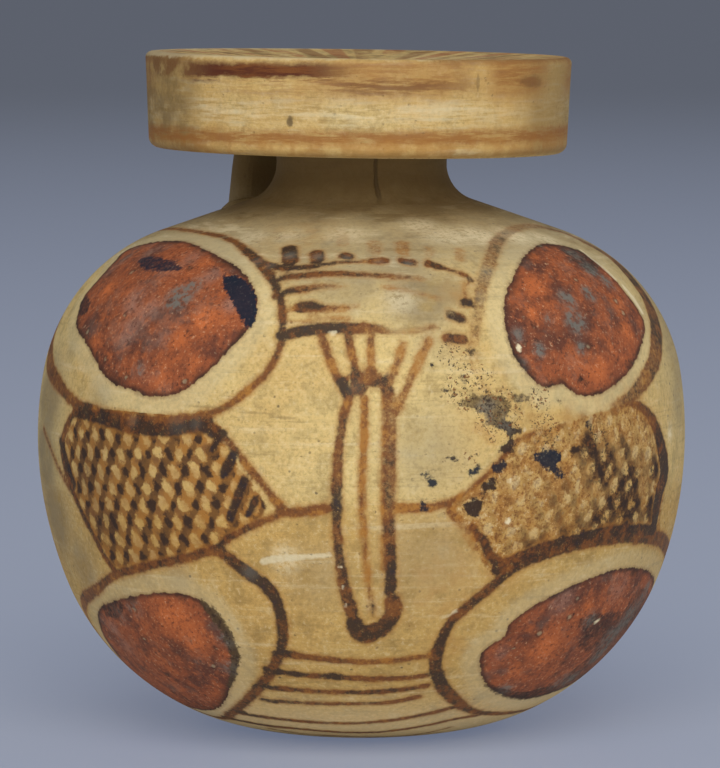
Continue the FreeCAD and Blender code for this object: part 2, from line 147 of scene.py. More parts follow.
class Paints(bpy.types.PropertyGroup):
    clay: colour("Clay", 218, 190, 126, "Smoothed buff clay of the upper wall")
    clay_low: colour("Low Clay", 196, 160, 93, "Olive buff clay of the lower wall")
    clay_warm: colour("Warm Clay", 200, 158, 88, "Warm flush in the clay")
    # Also a painted highlight along the top edge of the disc.
    pale_clay_and_highlight: colour("Pale Clay", 208, 194, 154, "Greyed clay in rubbed places")
    # Also laid as painted light on the lower wall near the foot.
    cream_and_light: colour("Cream", 236, 220, 180, "Clean pale grit and fresh scratches")
    # Also laid as painted shade on the globe's edges and on the shoulder under the disc.
    dust_and_shade: colour("Dust", 150, 138, 112, "Grey brown skin on the shoulder")
    disc: colour("Disc Clay", 206, 177, 116, "Clay of the mouth disc")
    # Also laid as painted shade: on the disc's sides as seen from the camera, on the globe's edges and on the
    # shoulder.
    grime_and_shade: colour("Grime", 122, 98, 58, "Dirt in the hollows and scratches")
    wash: colour("Wash", 164, 109, 46, "Thin orange edge of a brush stroke")
    brown: colour("Brown", 116, 68, 34, "Brown of a common brush stroke")
    dark: colour("Dark", 52, 38, 32, "Thick paint, nearly black")
    black: colour("Black", 17, 31, 47, "Blue black burnt patches")
    red: colour("Red", 154, 84, 50, "Red infill of the leaves")
    red_deep: colour("Deep Red", 104, 60, 44, "Brown clouds in the red")
    red_bright: colour("Bright Red", 198, 108, 58, "Rubbed orange red")
    pink: colour("Pink", 162, 120, 102, "Greyed pink bloom on the red")
    patina: colour("Patina", 112, 112, 104, "Blue grey skin over the paint")
    maroon: colour("Maroon", 88, 44, 26, "Worn band at the top of the disc's edge")
    band: colour("Band", 144, 90, 40, "Worn band near the foot of the disc's edge")
    # Partly the neck's own brown, partly painted shade: it darkens the neck, the handle and the collar under
    # the disc.
    neck: colour("Neck", 112, 87, 47, "Clay of the neck and its luting")


class Studio(bpy.types.PropertyGroup):
    azimuth: turn("Azimuth", VIEW_AZIMUTH, "Where the camera stands round the object")
    distance: length("Distance", 470.0, "From the axis to the camera, level")
    height: length("Height", 76.0, "Height of the camera")
    pitch: turn("Pitch", 5.216, "How far the camera looks down")
    yaw: turn("Yaw", 0.0176, "How far the camera looks to the left of the axis")
    lens: FloatProperty(name="Lens", description="Focal length on a 36 mm sensor, in mm", default=228.47)
    key: FloatProperty(name="Key Light", description="Power of the soft key light", default=7.1, unit="POWER")
    side: FloatProperty(name="Side Light", description="Power of the side light", default=0.6, unit="POWER")
    sky: FloatProperty(name="Sky", description="Strength of the even light all round", default=0.205)
    low: FloatProperty(name="Low Light", description="Power of the low light", default=0.6, unit="POWER")
    floor: colour("Floor", 236, 241, 250, "Plain pale floor")
    haze: colour("Haze", 122, 132, 157, "Glow of the floor close by, as the camera sees it")


class Flask(bpy.types.PropertyGroup):
    globe: PointerProperty(type=GlobeSizes, name="Globe", description="Sizes of the globe")
    neck: PointerProperty(type=NeckSizes, name="Neck", description="Sizes of the neck")
    disc: PointerProperty(type=DiscSizes, name="Disc", description="Sizes of the mouth disc")
    strap: PointerProperty(type=StrapSizes, name="Strap", description="Sizes of the strap handle")
    paints: PointerProperty(type=Paints, name="Paints", description="Colours of clay and paint")
    studio: PointerProperty(type=Studio, name="Studio", description="Camera and lights")


# The painted ornament, followed on the photograph

# points: pixels of the photograph. around: how the stroke goes on out of sight, as the angle round
# from the middle of the view in degrees and the height in millimetres. width: in pixels, one value
# or several spread along the stroke. load: 0 a thin orange wash, 0.5 brown, 0.8 thick, 1 blue black.
# cover: how much of the clay the paint still hides, one value or several.
Brush = namedtuple("Brush", "points width load cover around closed", defaults=(1.0, (), False))

# The rings round the four leaves.
RINGS = {
    "upper left": Brush([(161, 230), (192, 231), (227, 238), (248, 252), (261, 265), (274, 282), (281, 301),
        (283, 321), (281, 345), (268, 371), (248, 390), (224, 408), (192, 417), (161, 420), (127, 417),
        (94, 410), (73, 401), (60, 386), (51, 371), (49, 358)],
        (6, 7, 8, 10, 11, 11, 10, 9, 8, 8, 8, 8, 9, 9, 10, 10, 12, 16, 20, 24, 20, 16, 12, 8, 6, 6),
        (0.3, 0.35, 0.45, 0.55, 0.62, 0.6, 0.55, 0.5, 0.42, 0.36, 0.3, 0.3, 0.3, 0.32, 0.35, 0.35, 0.34,
        0.34, 0.34, 0.34, 0.34, 0.32, 0.3, 0.3, 0.3, 0.3),
        (1, 1, 1, 1, 1, 1, 1, 1, 1, 1, 1, 1, 1, 1, 1, 1, 0.95, 0.85, 0.8, 0.8, 0.8, 0.8, 0.8, 0.9, 1, 1),
        around=[(-86, 38), (-91, 41), (-95, 44.5), (-94, 47), (-92, 48)], closed=True),
    "upper right": Brush([(501, 237), (489, 265), (481, 288), (478, 309), (475, 329), (475, 364),
        (490, 395), (530, 415), (567, 419), (600, 414), (622, 403), (640, 386), (652, 366), (656, 345),
        (655, 325), (647, 302), (632, 280), (612, 259), (588, 244), (558, 231), (530, 226)],
        (14, 13, 12, 12, 11, 8, 6, 5, 6, 10, 13, 18, 22, 26, 29, 31, 32, 30, 23, 16, 12, 13),
        (0.5, 0.5, 0.48, 0.4, 0.3, 0.15, 0.1, 0.15, 0.25, 0.3, 0.36, 0.42, 0.46, 0.52, 0.58, 0.62, 0.62,
        0.58, 0.5, 0.4, 0.4, 0.5),
        (0.5, 0.45, 0.45, 0.4, 0.35, 0.22, 0.2, 0.25, 0.3, 0.45, 0.55, 0.66, 0.7, 0.74, 0.78, 0.78, 0.74,
        0.66, 0.55, 0.45, 0.4, 0.4), closed=True),
    "lower left": Brush([(83, 603), (96, 590), (116, 575), (148, 567), (179, 560), (214, 551), (231, 560),
        (248, 573), (266, 586), (279, 608), (282, 642), (272, 670), (252, 695), (231, 713)],
        (15, 12, 9, 8, 9, 11, 13, 15, 15, 13, 12, 12, 12, 12, 10, 8, 8, 8, 10, 14),
        (0.45, 0.45, 0.5, 0.5, 0.5, 0.7, 0.8, 0.82, 0.76, 0.55, 0.45, 0.5, 0.5, 0.45, 0.3, 0.3, 0.3),
        around=[(-44, 2.7), (-55, 2.2), (-68, 3.6), (-76, 7), (-78, 10.5)], closed=True),
    "lower right": Brush([(509, 713), (472, 711), (458, 703), (445, 690), (437, 675), (436, 662),
        (440, 645), (450, 625), (462, 612), (480, 597), (500, 580), (524, 564), (558, 552), (593, 543),
        (627, 538), (655, 538), (664, 543)],
        (8, 11, 14, 16, 15, 14, 13, 12, 12, 12, 11, 10, 9, 10, 12, 16, 18, 16, 13, 10, 10, 9, 8),
        (0.45, 0.5, 0.62, 0.72, 0.76, 0.7, 0.62, 0.6, 0.66, 0.64, 0.6, 0.6, 0.5, 0.5, 0.5, 0.5, 0.5, 0.5),
        around=[(86, 16.5), (94, 12.5), (95, 8), (86, 4.5), (70, 2.7)], closed=True),
}

# The outlines of the two nets.
NETS = {
    "left": [(79, 408), (203, 419), (222, 441), (242, 470), (266, 506), (254, 522), (229, 537), (214, 549),
        (161, 564), (116, 573), (90, 532), (70, 488), (63, 462), (63, 445), (73, 423)],
    "right": [(448, 504), (469, 490), (489, 472), (510, 449), (524, 437), (570, 421), (627, 403),
        (640, 405), (659, 426), (668, 456), (666, 483), (660, 518), (659, 536), (627, 538), (593, 543),
        (558, 552), (524, 564), (500, 580), (482, 562), (470, 535)],
}
# The net's two families of lines, as one step along each, millimetres to the right and up.
NET_STEPS = {"left": ((1.66, -1.5), (-0.70, -1.66)), "right": ((-1.63, -1.36), (0.81, -1.6))}
# A crossing of the net, in pixels.
NET_CROSSING = {"left": (163, 471), "right": (600, 470)}

NET_EDGES = {
    "left top": Brush([(76, 411), (100, 416), (127, 423), (161, 428), (190, 425), (209, 422)],
        (14, 17, 19, 19, 17, 13), (0.7, 0.72, 0.66, 0.72, 0.6)),
    "left right side": Brush([(210, 423), (228, 441), (246, 463), (264, 486), (285, 511)], 8,
        (0.5, 0.4, 0.34, 0.4)),
    "left bar 1": Brush([(205, 429), (215, 434), (224, 433)], 9, 0.92, 1.3),
    "left bar 2": Brush([(234, 455), (229, 464), (224, 474)], 11, 0.92, 1.3),
    "left bar 3": Brush([(244, 481), (238, 497), (230, 518)], 10, 0.92, 1.3),
    "left bar 4": Brush([(256, 498), (252, 507), (248, 515)], 8, 0.86, 1.2),
    "left foot": Brush([(285, 513), (257, 524), (229, 538), (214, 549), (188, 557), (161, 563), (138, 568),
        (116, 573)], (6, 8, 9, 9, 8), (0.4, 0.62, 0.6, 0.5)),
    "left side": Brush([(77, 410), (67, 425), (62, 445), (64, 463), (72, 490), (91, 531), (116, 573)],
        (8, 11, 12, 12, 10, 8, 7), (0.6, 0.5, 0.6, 0.6)),
    "left outer line": Brush([(44, 428), (50, 447), (60, 472), (71, 493)], (5, 6, 6, 5), 0.4, 0.8),
    "left side dark": Brush([(61, 442), (66, 462), (74, 484)], (12, 13, 9), 0.95, 1.1),
    "right top": Brush([(448, 504), (469, 490), (489, 472), (510, 449), (524, 437), (570, 421), (627, 403)],
        (4, 5, 6, 5, 4), (0.2, 0.4, 0.4, 0.2, 0.1)),
    "right side": Brush([(628, 403), (642, 407), (655, 425), (663, 455), (664, 475), (658, 498), (655, 520),
        (652, 538)], (7, 10, 16, 24, 26, 22, 18, 14), (0.4, 0.46, 0.6, 0.8, 0.84, 0.8, 0.76, 0.7)),
    "right low side": Brush([(472, 526), (477, 534), (484, 541), (488, 552), (496, 562), (504, 570)],
        (7, 11, 12, 13), (0.5, 0.6, 0.66)),
    "right low stain": Brush([(452, 510), (461, 524), (468, 536), (474, 548)], 8, 0.1, 0.4),
    "right tip": Brush([(448, 504), (451, 512), (456, 519)], 8, 0.5),
    "right foot": Brush([(497, 570), (520, 557), (545, 548), (560, 544), (593, 536), (627, 530),
        (652, 530)], (14, 12, 16, 12, 16, 13, 14), (0.66, 0.6, 0.8, 0.56, 0.74, 0.66)),
    "right foot red": Brush([(505, 572), (530, 561), (560, 551), (593, 543), (627, 538), (652, 537)], 7,
        (0.36, 0.5, 0.4)),
}

# The spindle between the nets, with the fan and the crown over it.
MIDDLE = {
    "line to the left net": Brush([(285, 513), (300, 512), (317, 510), (334, 507)], (8, 11, 12, 9), 0.3),
    "line to the right net": Brush([(395, 508), (421, 508), (436, 506), (449, 503)], (10, 9, 9), 0.2, 0.8),
    "spindle left": Brush([(352, 392), (349, 397), (343, 420), (340, 438), (338, 461), (337, 478),
        (337, 505), (337, 531), (340, 560), (345, 590), (352, 612), (353, 625)],
        (9, 9, 10, 10, 11, 12, 12, 11, 11, 12, 13, 13),
        (0.3, 0.34, 0.46, 0.5, 0.4, 0.52, 0.72, 0.42, 0.56, 0.74, 0.7, 0.66), (0.9, 0.8, 0.75, 0.75, 0.9)),
    "spindle foot": Brush([(354, 624), (359, 632), (366, 635), (374, 633), (383, 628), (391, 619),
        (394, 611), (393, 602)], (18, 22, 19, 17), (0.8, 0.68, 0.62, 0.52)),
    "spindle right": Brush([(387, 397), (390, 416), (390, 438), (390, 460), (389, 482), (389, 506),
        (389, 530), (390, 552)], (12, 14, 13, 12), (0.42, 0.36, 0.4, 0.36, 0.48, 0.7),
        (0.7, 0.6, 0.7, 0.6, 0.7, 0.9)),
    "spindle right low": Brush([(390, 552), (391, 572), (390, 592)], 13, (0.74, 0.84, 0.8)),
    "spindle right wash": Brush([(384, 397), (384, 440), (383, 482), (384, 520), (384, 570)], 6, 0.1),
    "spindle midrib": Brush([(365, 398), (364, 440), (362, 480), (363, 520), (366, 560), (369, 590),
        (372, 602)], (8, 8, 8, 7, 6, 4), (0.26, 0.16, 0.26, 0.14, 0.24, 0.34), 0.85),
    "spindle tick": Brush([(371, 599), (373, 608), (374, 618)], (4, 6, 5), 0.85, 1.1),
    "fan 1": Brush([(322, 337), (329, 357), (338, 380)], 9, (0.5, 0.2, 0.3), 0.8),
    "fan 2": Brush([(348, 337), (352, 355), (356, 372)], 9, (0.5, 0.2, 0.32), 0.8),
    "fan 3": Brush([(371, 338), (371, 357), (371, 374)], 8, (0.24, 0.12, 0.3), 0.7),
    "fan 4": Brush([(403, 345), (396, 367), (388, 384)], 9, (0.08, 0.06, 0.22), 0.62),
    "fan 5": Brush([(429, 340), (415, 369), (405, 392), (397, 411)], 9, (0.04, 0.06, 0.12, 0.3), 0.62),
    "crown band": Brush([(346, 393), (359, 386), (373, 380), (388, 389)], 9, 0.55, 0.75),
}

TOP_BAND = {
    "dot tail": Brush([(437, 267), (452, 271), (465, 276), (470, 281)], (6, 5, 8), (0.5, 0.5, 0.62), 0.85),
    "wedge": Brush([(250, 252), (262, 263), (274, 267), (290, 269), (312, 267), (332, 264), (352, 262),
        (375, 262)], (9, 10, 11, 9, 8, 5, 4), (0.7, 0.66, 0.7, 0.6, 0.4), (0.8, 0.9, 0.85, 0.6)),
    "line 1": Brush([(280, 279), (305, 276), (330, 274), (365, 275), (400, 277), (424, 279)],
        (9, 10, 8, 8, 6), (0.6, 0.5, 0.44, 0.4, 0.3), (1.0, 0.85, 0.8, 0.6, 0.3)),
    "line 2": Brush([(276, 297), (290, 292), (304, 290), (326, 287), (344, 287)], (9, 11, 8, 4),
        (0.6, 0.52, 0.4, 0.1), (1.0, 0.85, 0.6, 0.3)),
    "line 2 worn": Brush([(384, 287), (402, 290), (419, 294), (440, 299)], 4, 0.2, 0.5),
    "line 3": Brush([(300, 308), (310, 307), (320, 308)], (12, 13, 10), 0.9, 1.2),
    "line 3 tail": Brush([(322, 308), (340, 308), (358, 306)], (7, 5, 3), (0.5, 0.2), (0.8, 0.5)),
    "line 3 wash": Brush([(284, 311), (300, 309), (318, 312), (348, 310)], (5, 6, 3), 0.12, 0.5),
    "line 4": Brush([(290, 322), (320, 319), (350, 318)], (3, 3, 2), 0.1, 0.5),
    "line 5": Brush([(280, 336), (304, 331), (326, 328), (352, 328), (371, 328), (400, 331), (430, 329)],
        (12, 13, 13, 13, 7, 5), (0.84, 0.8, 0.76, 0.62, 0.3, 0.2), (1.1, 1.0, 0.9, 0.65, 0.35)),
    "edge line": Brush([(465, 284), (464, 292), (466, 301)], 4, 0.1, 0.5),
}

FOOT_BAND = {
    "line 1": Brush([(275, 653), (310, 657), (356, 662), (395, 661), (430, 656)], (8, 8, 7, 7),
        (0.7, 0.42, 0.4, 0.36)),
    "line 2": Brush([(266, 669), (300, 674), (337, 677), (380, 679), (427, 676)], (10, 8, 8, 9, 7),
        (0.8, 0.5, 0.6, 0.42, 0.4)),
    "line 3": Brush([(264, 686), (290, 689), (325, 691), (370, 692), (427, 686)], (9, 8, 7, 9, 8),
        (0.8, 0.56, 0.42, 0.56, 0.5)),
    "line 4": Brush([(262, 699), (300, 702), (356, 703), (390, 702), (418, 697)], (7, 7, 7, 8),
        (0.6, 0.46, 0.42, 0.56)),
    "line 5": Brush([(236, 711), (270, 717), (306, 721), (368, 722), (410, 717), (455, 707)], (9, 8, 7, 8),
        (0.7, 0.5, 0.42, 0.56)),
    "line 6": Brush([(225, 716), (262, 724), (306, 729), (368, 732), (420, 726), (455, 719), (488, 713)],
        (10, 8, 7, 7), (0.7, 0.5, 0.46, 0.56)),
    "line 7": Brush([(270, 728), (300, 733), (346, 736), (400, 736), (450, 727)], 5, 0.45, 0.6),
}

# Short strokes and dots of the brush: from x, y to x, y, width, load, and cover where it isn't 1.
DABS = [
    # Along the nets' edges.
    (219, 438, 212, 450, 8, 0.86, 1.2), (280, 511, 288, 512, 8, 0.8), (84, 408, 91, 410, 13, 1.0, 1.2),
    (108, 417, 114, 422, 13, 1.0, 1.2), (143, 427, 151, 429, 12, 1.0, 1.2),
    (540, 556, 545, 545, 8, 0.74), (577, 545, 582, 533, 9, 0.76),
    (622, 535, 626, 524, 8, 0.74), (515, 566, 519, 556, 8, 0.7),
    (557, 549, 562, 538, 8, 0.78), (600, 540, 606, 529, 7, 0.72),
    (529, 558, 533, 549, 7, 0.72),
    # On the spindle and its crown.
    (337, 505, 337, 505, 13, 0.95), (341, 381, 348, 394, 13, 0.74, 0.95),
    (356, 374, 360, 389, 14, 0.62, 0.85), (371, 372, 372, 381, 13, 0.52, 0.8),
    (383, 380, 388, 392, 13, 0.62, 0.85),
    # In the band of dots and squares above the spindle.
    (290, 249, 291, 262, 17, 0.7, 0.85), (317, 254, 318, 260, 15, 0.64, 0.85),
    (345, 256, 348, 257, 14, 0.6, 0.9), (373, 261, 384, 261, 11, 0.55),
    (403, 261, 412, 263, 11, 0.55, 0.95), (429, 264, 438, 267, 12, 0.66),
    (343, 237, 343, 244, 12, 0.08, 0.26), (374, 243, 375, 251, 14, 0.06, 0.34),
    (402, 243, 403, 252, 13, 0.08, 0.42), (429, 248, 429, 255, 8, 0.06, 0.26),
    (459, 250, 460, 259, 9, 0.08, 0.36), (428, 328, 435, 327, 4, 0.5, 0.6),
    (464, 303, 468, 303, 12, 0.75, 1.2), (450, 315, 461, 319, 11, 0.8, 1.1),
    (447, 338, 463, 340, 11, 0.6, 0.85),
    # Blots on the lines below the spindle.
    (282, 652, 292, 654, 10, 0.95, 1.2), (271, 670, 279, 671, 12, 0.95, 1.2),
    (293, 673, 300, 674, 10, 0.85, 1.1), (329, 676, 339, 677, 11, 0.9, 1.2),
    (257, 686, 265, 686, 10, 0.9, 1.2), (268, 700, 275, 701, 8, 0.8, 1.1),
    (237, 710, 246, 712, 9, 0.85, 1.1),
]
# Drops of spilt paint, in the same way.
SPLASHES = [
    (486, 488, 491, 486, 12, 0.72, 0.95), (497, 468, 501, 465, 10, 0.84, 0.9),
    (472, 473, 477, 470, 8, 0.92), (431, 481, 432, 484, 8, 0.95),
    (424, 502, 424, 510, 6, 0.84), (455, 458, 455, 458, 4, 0.8),
    (447, 459, 447, 459, 4, 0.8), (461, 376, 466, 382, 4, 0.84),
    (445, 390, 445, 390, 5, 0.84), (432, 366, 432, 366, 4, 0.8),
    (470, 352, 475, 350, 4, 0.6, 0.7), (560, 402, 560, 402, 6, 0.7, 0.6), (580, 378, 583, 380, 5, 0.7, 0.6),
    (424, 474, 432, 472, 3, 0.9), (587, 424, 590, 428, 6, 0.8), (572, 452, 582, 448, 6, 0.7, 0.8),
]

# Scratches and chips. Here load is 0 for a dark scratch and 1 for a fresh pale one.
SCRATCHES = {
    "white streak": Brush([(263, 562), (277, 559), (304, 557), (331, 555)], (6, 7, 5, 4), 0.8, 0.85),
    "hairline": Brush([(190, 405), (230, 409), (262, 414), (300, 420)], 2, 0.0, 0.5),
    "leaf scratch 1": Brush([(580, 250), (593, 260), (606, 271), (615, 280)], (3, 5, 7, 5), 0.9, 0.75),
    "leaf scratch 2": Brush([(623, 287), (632, 298), (641, 312)], (6, 8, 6), 0.95, 0.85),
}
CHIPS = [
    (340, 567, 340, 567, 4, 1.0), (343, 588, 343, 588, 4, 0.9, 0.8), (346, 606, 346, 606, 4, 1.0),
    (330, 333, 335, 333, 4, 0.9, 0.8), (453, 613, 457, 611, 4, 0.9, 0.7), (509, 481, 509, 481, 5, 1.0),
    (508, 521, 508, 521, 6, 1.0), (525, 430, 525, 430, 4, 0.8, 0.7), (518, 347, 519, 349, 5, 1.0),
    (595, 623, 600, 620, 4, 1.0), (440, 619, 450, 616, 3, 0.9, 0.6),
]

# The red infill of the leaves, as closed outlines in pixels.
LEAVES = {
    "upper left": [(129, 249), (179, 241), (214, 254), (242, 271), (257, 295), (257, 314), (248, 330),
        (229, 351), (205, 375), (179, 393), (153, 397), (131, 390), (109, 380), (96, 360), (86, 343),
        (76, 327), (77, 314), (83, 297), (99, 278), (114, 262)],
    "upper right": [(542, 244), (524, 256), (515, 272), (505, 295), (504, 318), (508, 341), (517, 361),
        (535, 382), (547, 388), (560, 384), (570, 390), (583, 396), (599, 394), (616, 384), (632, 366),
        (641, 345), (644, 325), (638, 311), (625, 293), (609, 274), (588, 256), (570, 248)],
    "lower left": [(99, 609), (121, 599), (154, 593), (187, 595), (211, 609), (229, 634), (238, 658),
        (231, 687), (221, 706), (201, 709), (166, 698), (136, 675), (114, 651), (101, 630)],
    "lower right": [(480, 662), (485, 650), (505, 636), (510, 625), (525, 612), (545, 600), (575, 585),
        (610, 571), (635, 568), (650, 572), (653, 585), (645, 610), (620, 645), (590, 672), (555, 692),
        (525, 699), (500, 694), (485, 682)],
}

# Burnt or spilt paint, as closed outlines in pixels and how dark each is.
Patch = namedtuple("Patch", "points load cover", defaults=(1.0,))
PATCHES = {
    "upper left leaf, right": Patch([(224, 277), (242, 278), (255, 293), (257, 314), (248, 329), (242, 319),
        (231, 301)], 1.0, 1.5),
    "upper left leaf, top": Patch([(138, 260), (158, 257), (183, 268), (166, 272), (146, 270)], 0.95, 0.62),
    "upper left leaf, left": Patch([(80, 302), (86, 296), (90, 303), (84, 314), (78, 312)], 0.8, 0.6),
    "upper right leaf, foot": Patch([(506, 322), (513, 341), (524, 360), (541, 378), (534, 381), (515, 361),
        (506, 341)], 0.62, 0.3),
    "upper right leaf, top": Patch([(560, 248), (578, 250), (600, 266), (592, 272), (574, 262)], 0.6, 0.5),
    "lower left leaf, top": Patch([(103, 607), (114, 602), (124, 603), (120, 616), (108, 617)], 0.66, 0.55),
    "lower left leaf, side": Patch([(200, 600), (216, 610), (233, 636), (240, 658), (234, 684), (229, 684),
        (231, 660), (222, 634), (208, 614)], 0.5, 0.8),
    "lower right leaf, side": Patch([(577, 622), (597, 615), (622, 612), (628, 625), (612, 641), (592, 652),
        (579, 646), (585, 634)], 0.62, 0.42),
    "lower right leaf, right": Patch([(640, 588), (652, 598), (642, 622), (620, 648), (595, 671),
        (570, 686), (556, 691), (562, 680), (586, 660), (606, 638), (622, 614)], 0.62, 0.42),
    "lower right leaf, foot": Patch([(484, 684), (500, 688), (525, 692), (552, 686), (556, 691), (526, 700),
        (500, 696)], 0.66, 0.55),
    "spill a": Patch([(458, 401), (478, 395), (501, 397), (509, 402), (509, 411), (506, 419), (513, 425),
        (523, 430), (516, 431), (489, 426), (485, 418), (477, 411), (461, 404)], 0.42, 0.7),
    "spill a, foot": Patch([(496, 420), (508, 420), (516, 427), (526, 431), (515, 434), (498, 428)], 0.7,
        0.8),
    "spill b": Patch([(508, 429), (514, 431), (512, 440), (519, 446), (514, 450), (504, 453), (500, 447),
        (507, 440)], 0.62, 0.85),
    "spill c": Patch([(535, 453), (556, 451), (561, 458), (556, 466), (564, 473), (562, 478), (556, 477),
        (551, 470), (544, 468), (537, 461)], 1.0, 1.5),
    "spill d": Patch([(463, 504), (481, 499), (481, 511), (474, 519), (466, 512)], 0.7, 0.9),
    "splash ring": Patch([(512, 396), (522, 393), (532, 397), (524, 403), (514, 402)], 0.7, 0.55),
}

# Round places where the surface is rubbed, specked with black or flushed: x, y and radius in pixels,
# and how much.
SPOTS = {
    "rubbed": [
        (560, 430, 46, 0.75), (600, 420, 40, 0.7), (505, 400, 50, 0.5), (440, 300, 40, 0.5),
        (400, 312, 40, 0.7), (410, 340, 24, 0.3),
    ],
    "greyed": [
        (180, 297, 19, 1.0), (193, 287, 13, 0.9), (173, 303, 13, 0.9), (138, 371, 9, 0.7),
        (126, 258, 12, 0.5), (588, 294, 11, 1.0), (575, 321, 16, 1.0), (567, 300, 13, 1.0),
        (539, 350, 9, 0.8), (518, 335, 10, 0.6), (521, 365, 10, 0.7), (581, 348, 9, 0.8),
        (590, 270, 15, 1.0), (548, 319, 8, 0.5), (573, 254, 14, 0.9), (606, 282, 12, 0.9),
        (610, 640, 26, 0.9), (560, 682, 16, 0.6), (642, 600, 14, 0.7), (290, 256, 8, 0.9),
        (318, 257, 7, 0.8), (347, 258, 6, 0.6), (378, 262, 6, 0.6), (408, 264, 6, 0.8), (487, 272, 12, 0.9),
        (481, 298, 9, 0.8), (270, 266, 7, 0.5), (133, 421, 8, 0.4), (196, 424, 8, 0.4), (356, 388, 9, 0.25),
        (258, 262, 8, 0.5), (226, 640, 12, 0.6), (232, 668, 12, 0.6), (120, 615, 14, 0.4),
        (250, 572, 10, 0.6), (178, 425, 14, 0.3), (486, 410, 16, 0.9), (505, 424, 14, 0.7),
        (520, 398, 10, 0.7), (590, 620, 12, 0.6), (628, 618, 22, 1.0), (600, 654, 20, 1.0),
        (570, 680, 16, 0.9), (645, 592, 14, 0.9), (505, 690, 14, 0.6), (134, 606, 14, 0.5),
    ],
    "bright": [
        (108, 290, 15, 0.8), (205, 318, 20, 0.9), (180, 338, 14, 0.8), (160, 382, 14, 0.8),
        (95, 339, 9, 0.6), (193, 362, 12, 0.7), (203, 264, 10, 0.6), (531, 255, 12, 0.7),
        (535, 287, 15, 0.9), (530, 310, 12, 0.7), (618, 308, 16, 0.8), (626, 331, 13, 0.9),
        (575, 358, 14, 0.6), (598, 371, 16, 0.8), (173, 616, 26, 1.0), (192, 636, 24, 0.9),
        (160, 660, 18, 0.6), (545, 650, 28, 1.0), (590, 606, 16, 0.6), (515, 672, 16, 0.7),
    ],
    "pinked": [
        (138, 300, 24, 0.9), (147, 313, 20, 0.9), (128, 332, 20, 0.8), (154, 251, 18, 0.7),
        (232, 305, 11, 0.9), (190, 258, 16, 0.7), (212, 276, 14, 0.7), (158, 336, 16, 0.6),
        (110, 270, 14, 0.5), (150, 372, 14, 0.4), (113, 628, 14, 0.7), (126, 646, 16, 0.6),
        (562, 598, 24, 0.7), (620, 585, 20, 0.7), (498, 655, 14, 0.6), (170, 270, 18, 0.4),
    ],
    "charred": [
        (603, 468, 26, 1.0), (588, 448, 18, 0.9), (628, 508, 30, 1.0), (654, 470, 15, 1.0),
        (650, 510, 18, 1.0), (600, 520, 24, 0.8), (560, 420, 10, 0.4), (572, 541, 28, 0.7),
        (530, 553, 24, 0.6), (624, 450, 18, 0.5), (560, 505, 30, 0.2), (658, 440, 8, 1.0),
        (630, 480, 26, 0.9), (615, 500, 20, 0.9), (86, 470, 34, 0.5), (110, 530, 36, 0.5),
        (112, 440, 40, 0.4), (160, 545, 30, 0.35), (150, 480, 40, 0.2),
    ],
    # Painted shade along the globe's left and right edges and on the shoulder under the disc, with dust on
    # the middle of the wall.
    "soiled_and_shaded": [
        (350, 285, 50, 0.6), (420, 298, 50, 0.9), (300, 268, 40, 0.5), (400, 270, 46, 0.6),
        (448, 292, 30, 0.8), (250, 235, 30, 0.4), (70, 350, 20, 0.5), (430, 450, 56, 0.5),
        (430, 560, 60, 0.5), (440, 340, 40, 0.4), (318, 575, 40, 0.4), (100, 402, 28, 0.5),
        (48, 400, 64, 0.85), (45, 455, 64, 0.9), (55, 515, 60, 0.8), (82, 565, 44, 0.6), (92, 480, 50, 0.6),
        (606, 240, 90, 0.7), (641, 272, 110, 0.75), (662, 310, 110, 0.7), (674, 352, 90, 0.6),
        (678, 400, 44, 0.6), (140, 560, 24, 0.5), (178, 578, 22, 0.5),
    ],
    "specked": [
        (470, 385, 34, 0.8), (452, 355, 22, 0.7), (500, 415, 34, 0.8), (470, 458, 26, 0.4),
        (545, 430, 30, 0.5), (445, 468, 20, 0.3), (540, 398, 22, 0.6), (600, 440, 26, 0.6),
        (585, 380, 16, 0.4), (440, 500, 14, 0.3),
    ],
    "flushed": [
        (505, 425, 60, 0.6), (560, 440, 60, 0.7), (500, 560, 40, 0.5), (620, 412, 50, 0.7),
        (300, 240, 60, 0.3), (440, 650, 30, 0.6), (440, 590, 60, 0.35), (470, 345, 30, 0.5),
        (462, 290, 26, 0.4), (650, 330, 26, 0.5), (60, 560, 30, 0.4),
    ],
    "paled": [
        (440, 237, 26, 0.5), (478, 235, 28, 0.7), (514, 236, 28, 0.8), (543, 238, 22, 0.8),
        (252, 238, 24, 0.45), (288, 236, 22, 0.45), (285, 559, 18, 0.5), (508, 522, 6, 1.0),
        (512, 481, 6, 0.8), (670, 433, 9, 0.9), (598, 622, 5, 1.0), (620, 690, 14, 0.5),
        (345, 235, 26, 0.5), (450, 236, 30, 0.6), (420, 226, 24, 0.5), (400, 300, 20, 0.5),
    ],
}


# Modelling


def facing(azimuth):
    """The level direction of an azimuth. At 0 it looks towards -Y, and it grows towards +X."""
    return math.sin(azimuth), -math.cos(azimuth)


def deselect():
    for item in bpy.context.selected_objects:
        item.select_set(False)
    bpy.context.view_layer.objects.active = None


def choose(item):
    """Selects one object alone and makes it the active one."""
    deselect()
    item.select_set(True)
    bpy.context.view_layer.objects.active = item


def edit(item):
    """Opens one object in edit mode with all of it selected."""
    choose(item)
    bpy.ops.object.mode_set(mode="EDIT")
    bpy.ops.mesh.select_all(action="SELECT")


def leave():
    bpy.ops.object.mode_set(mode="OBJECT")


def merge_and_face_out(item, threshold):
    """Merges the corners of a mesh that coincide and turns all its faces outward."""
    edit(item)
    bpy.ops.mesh.remove_doubles(threshold=threshold)
    bpy.ops.mesh.select_all(action="SELECT")
    bpy.ops.mesh.normals_make_consistent(inside=False)
    leave()


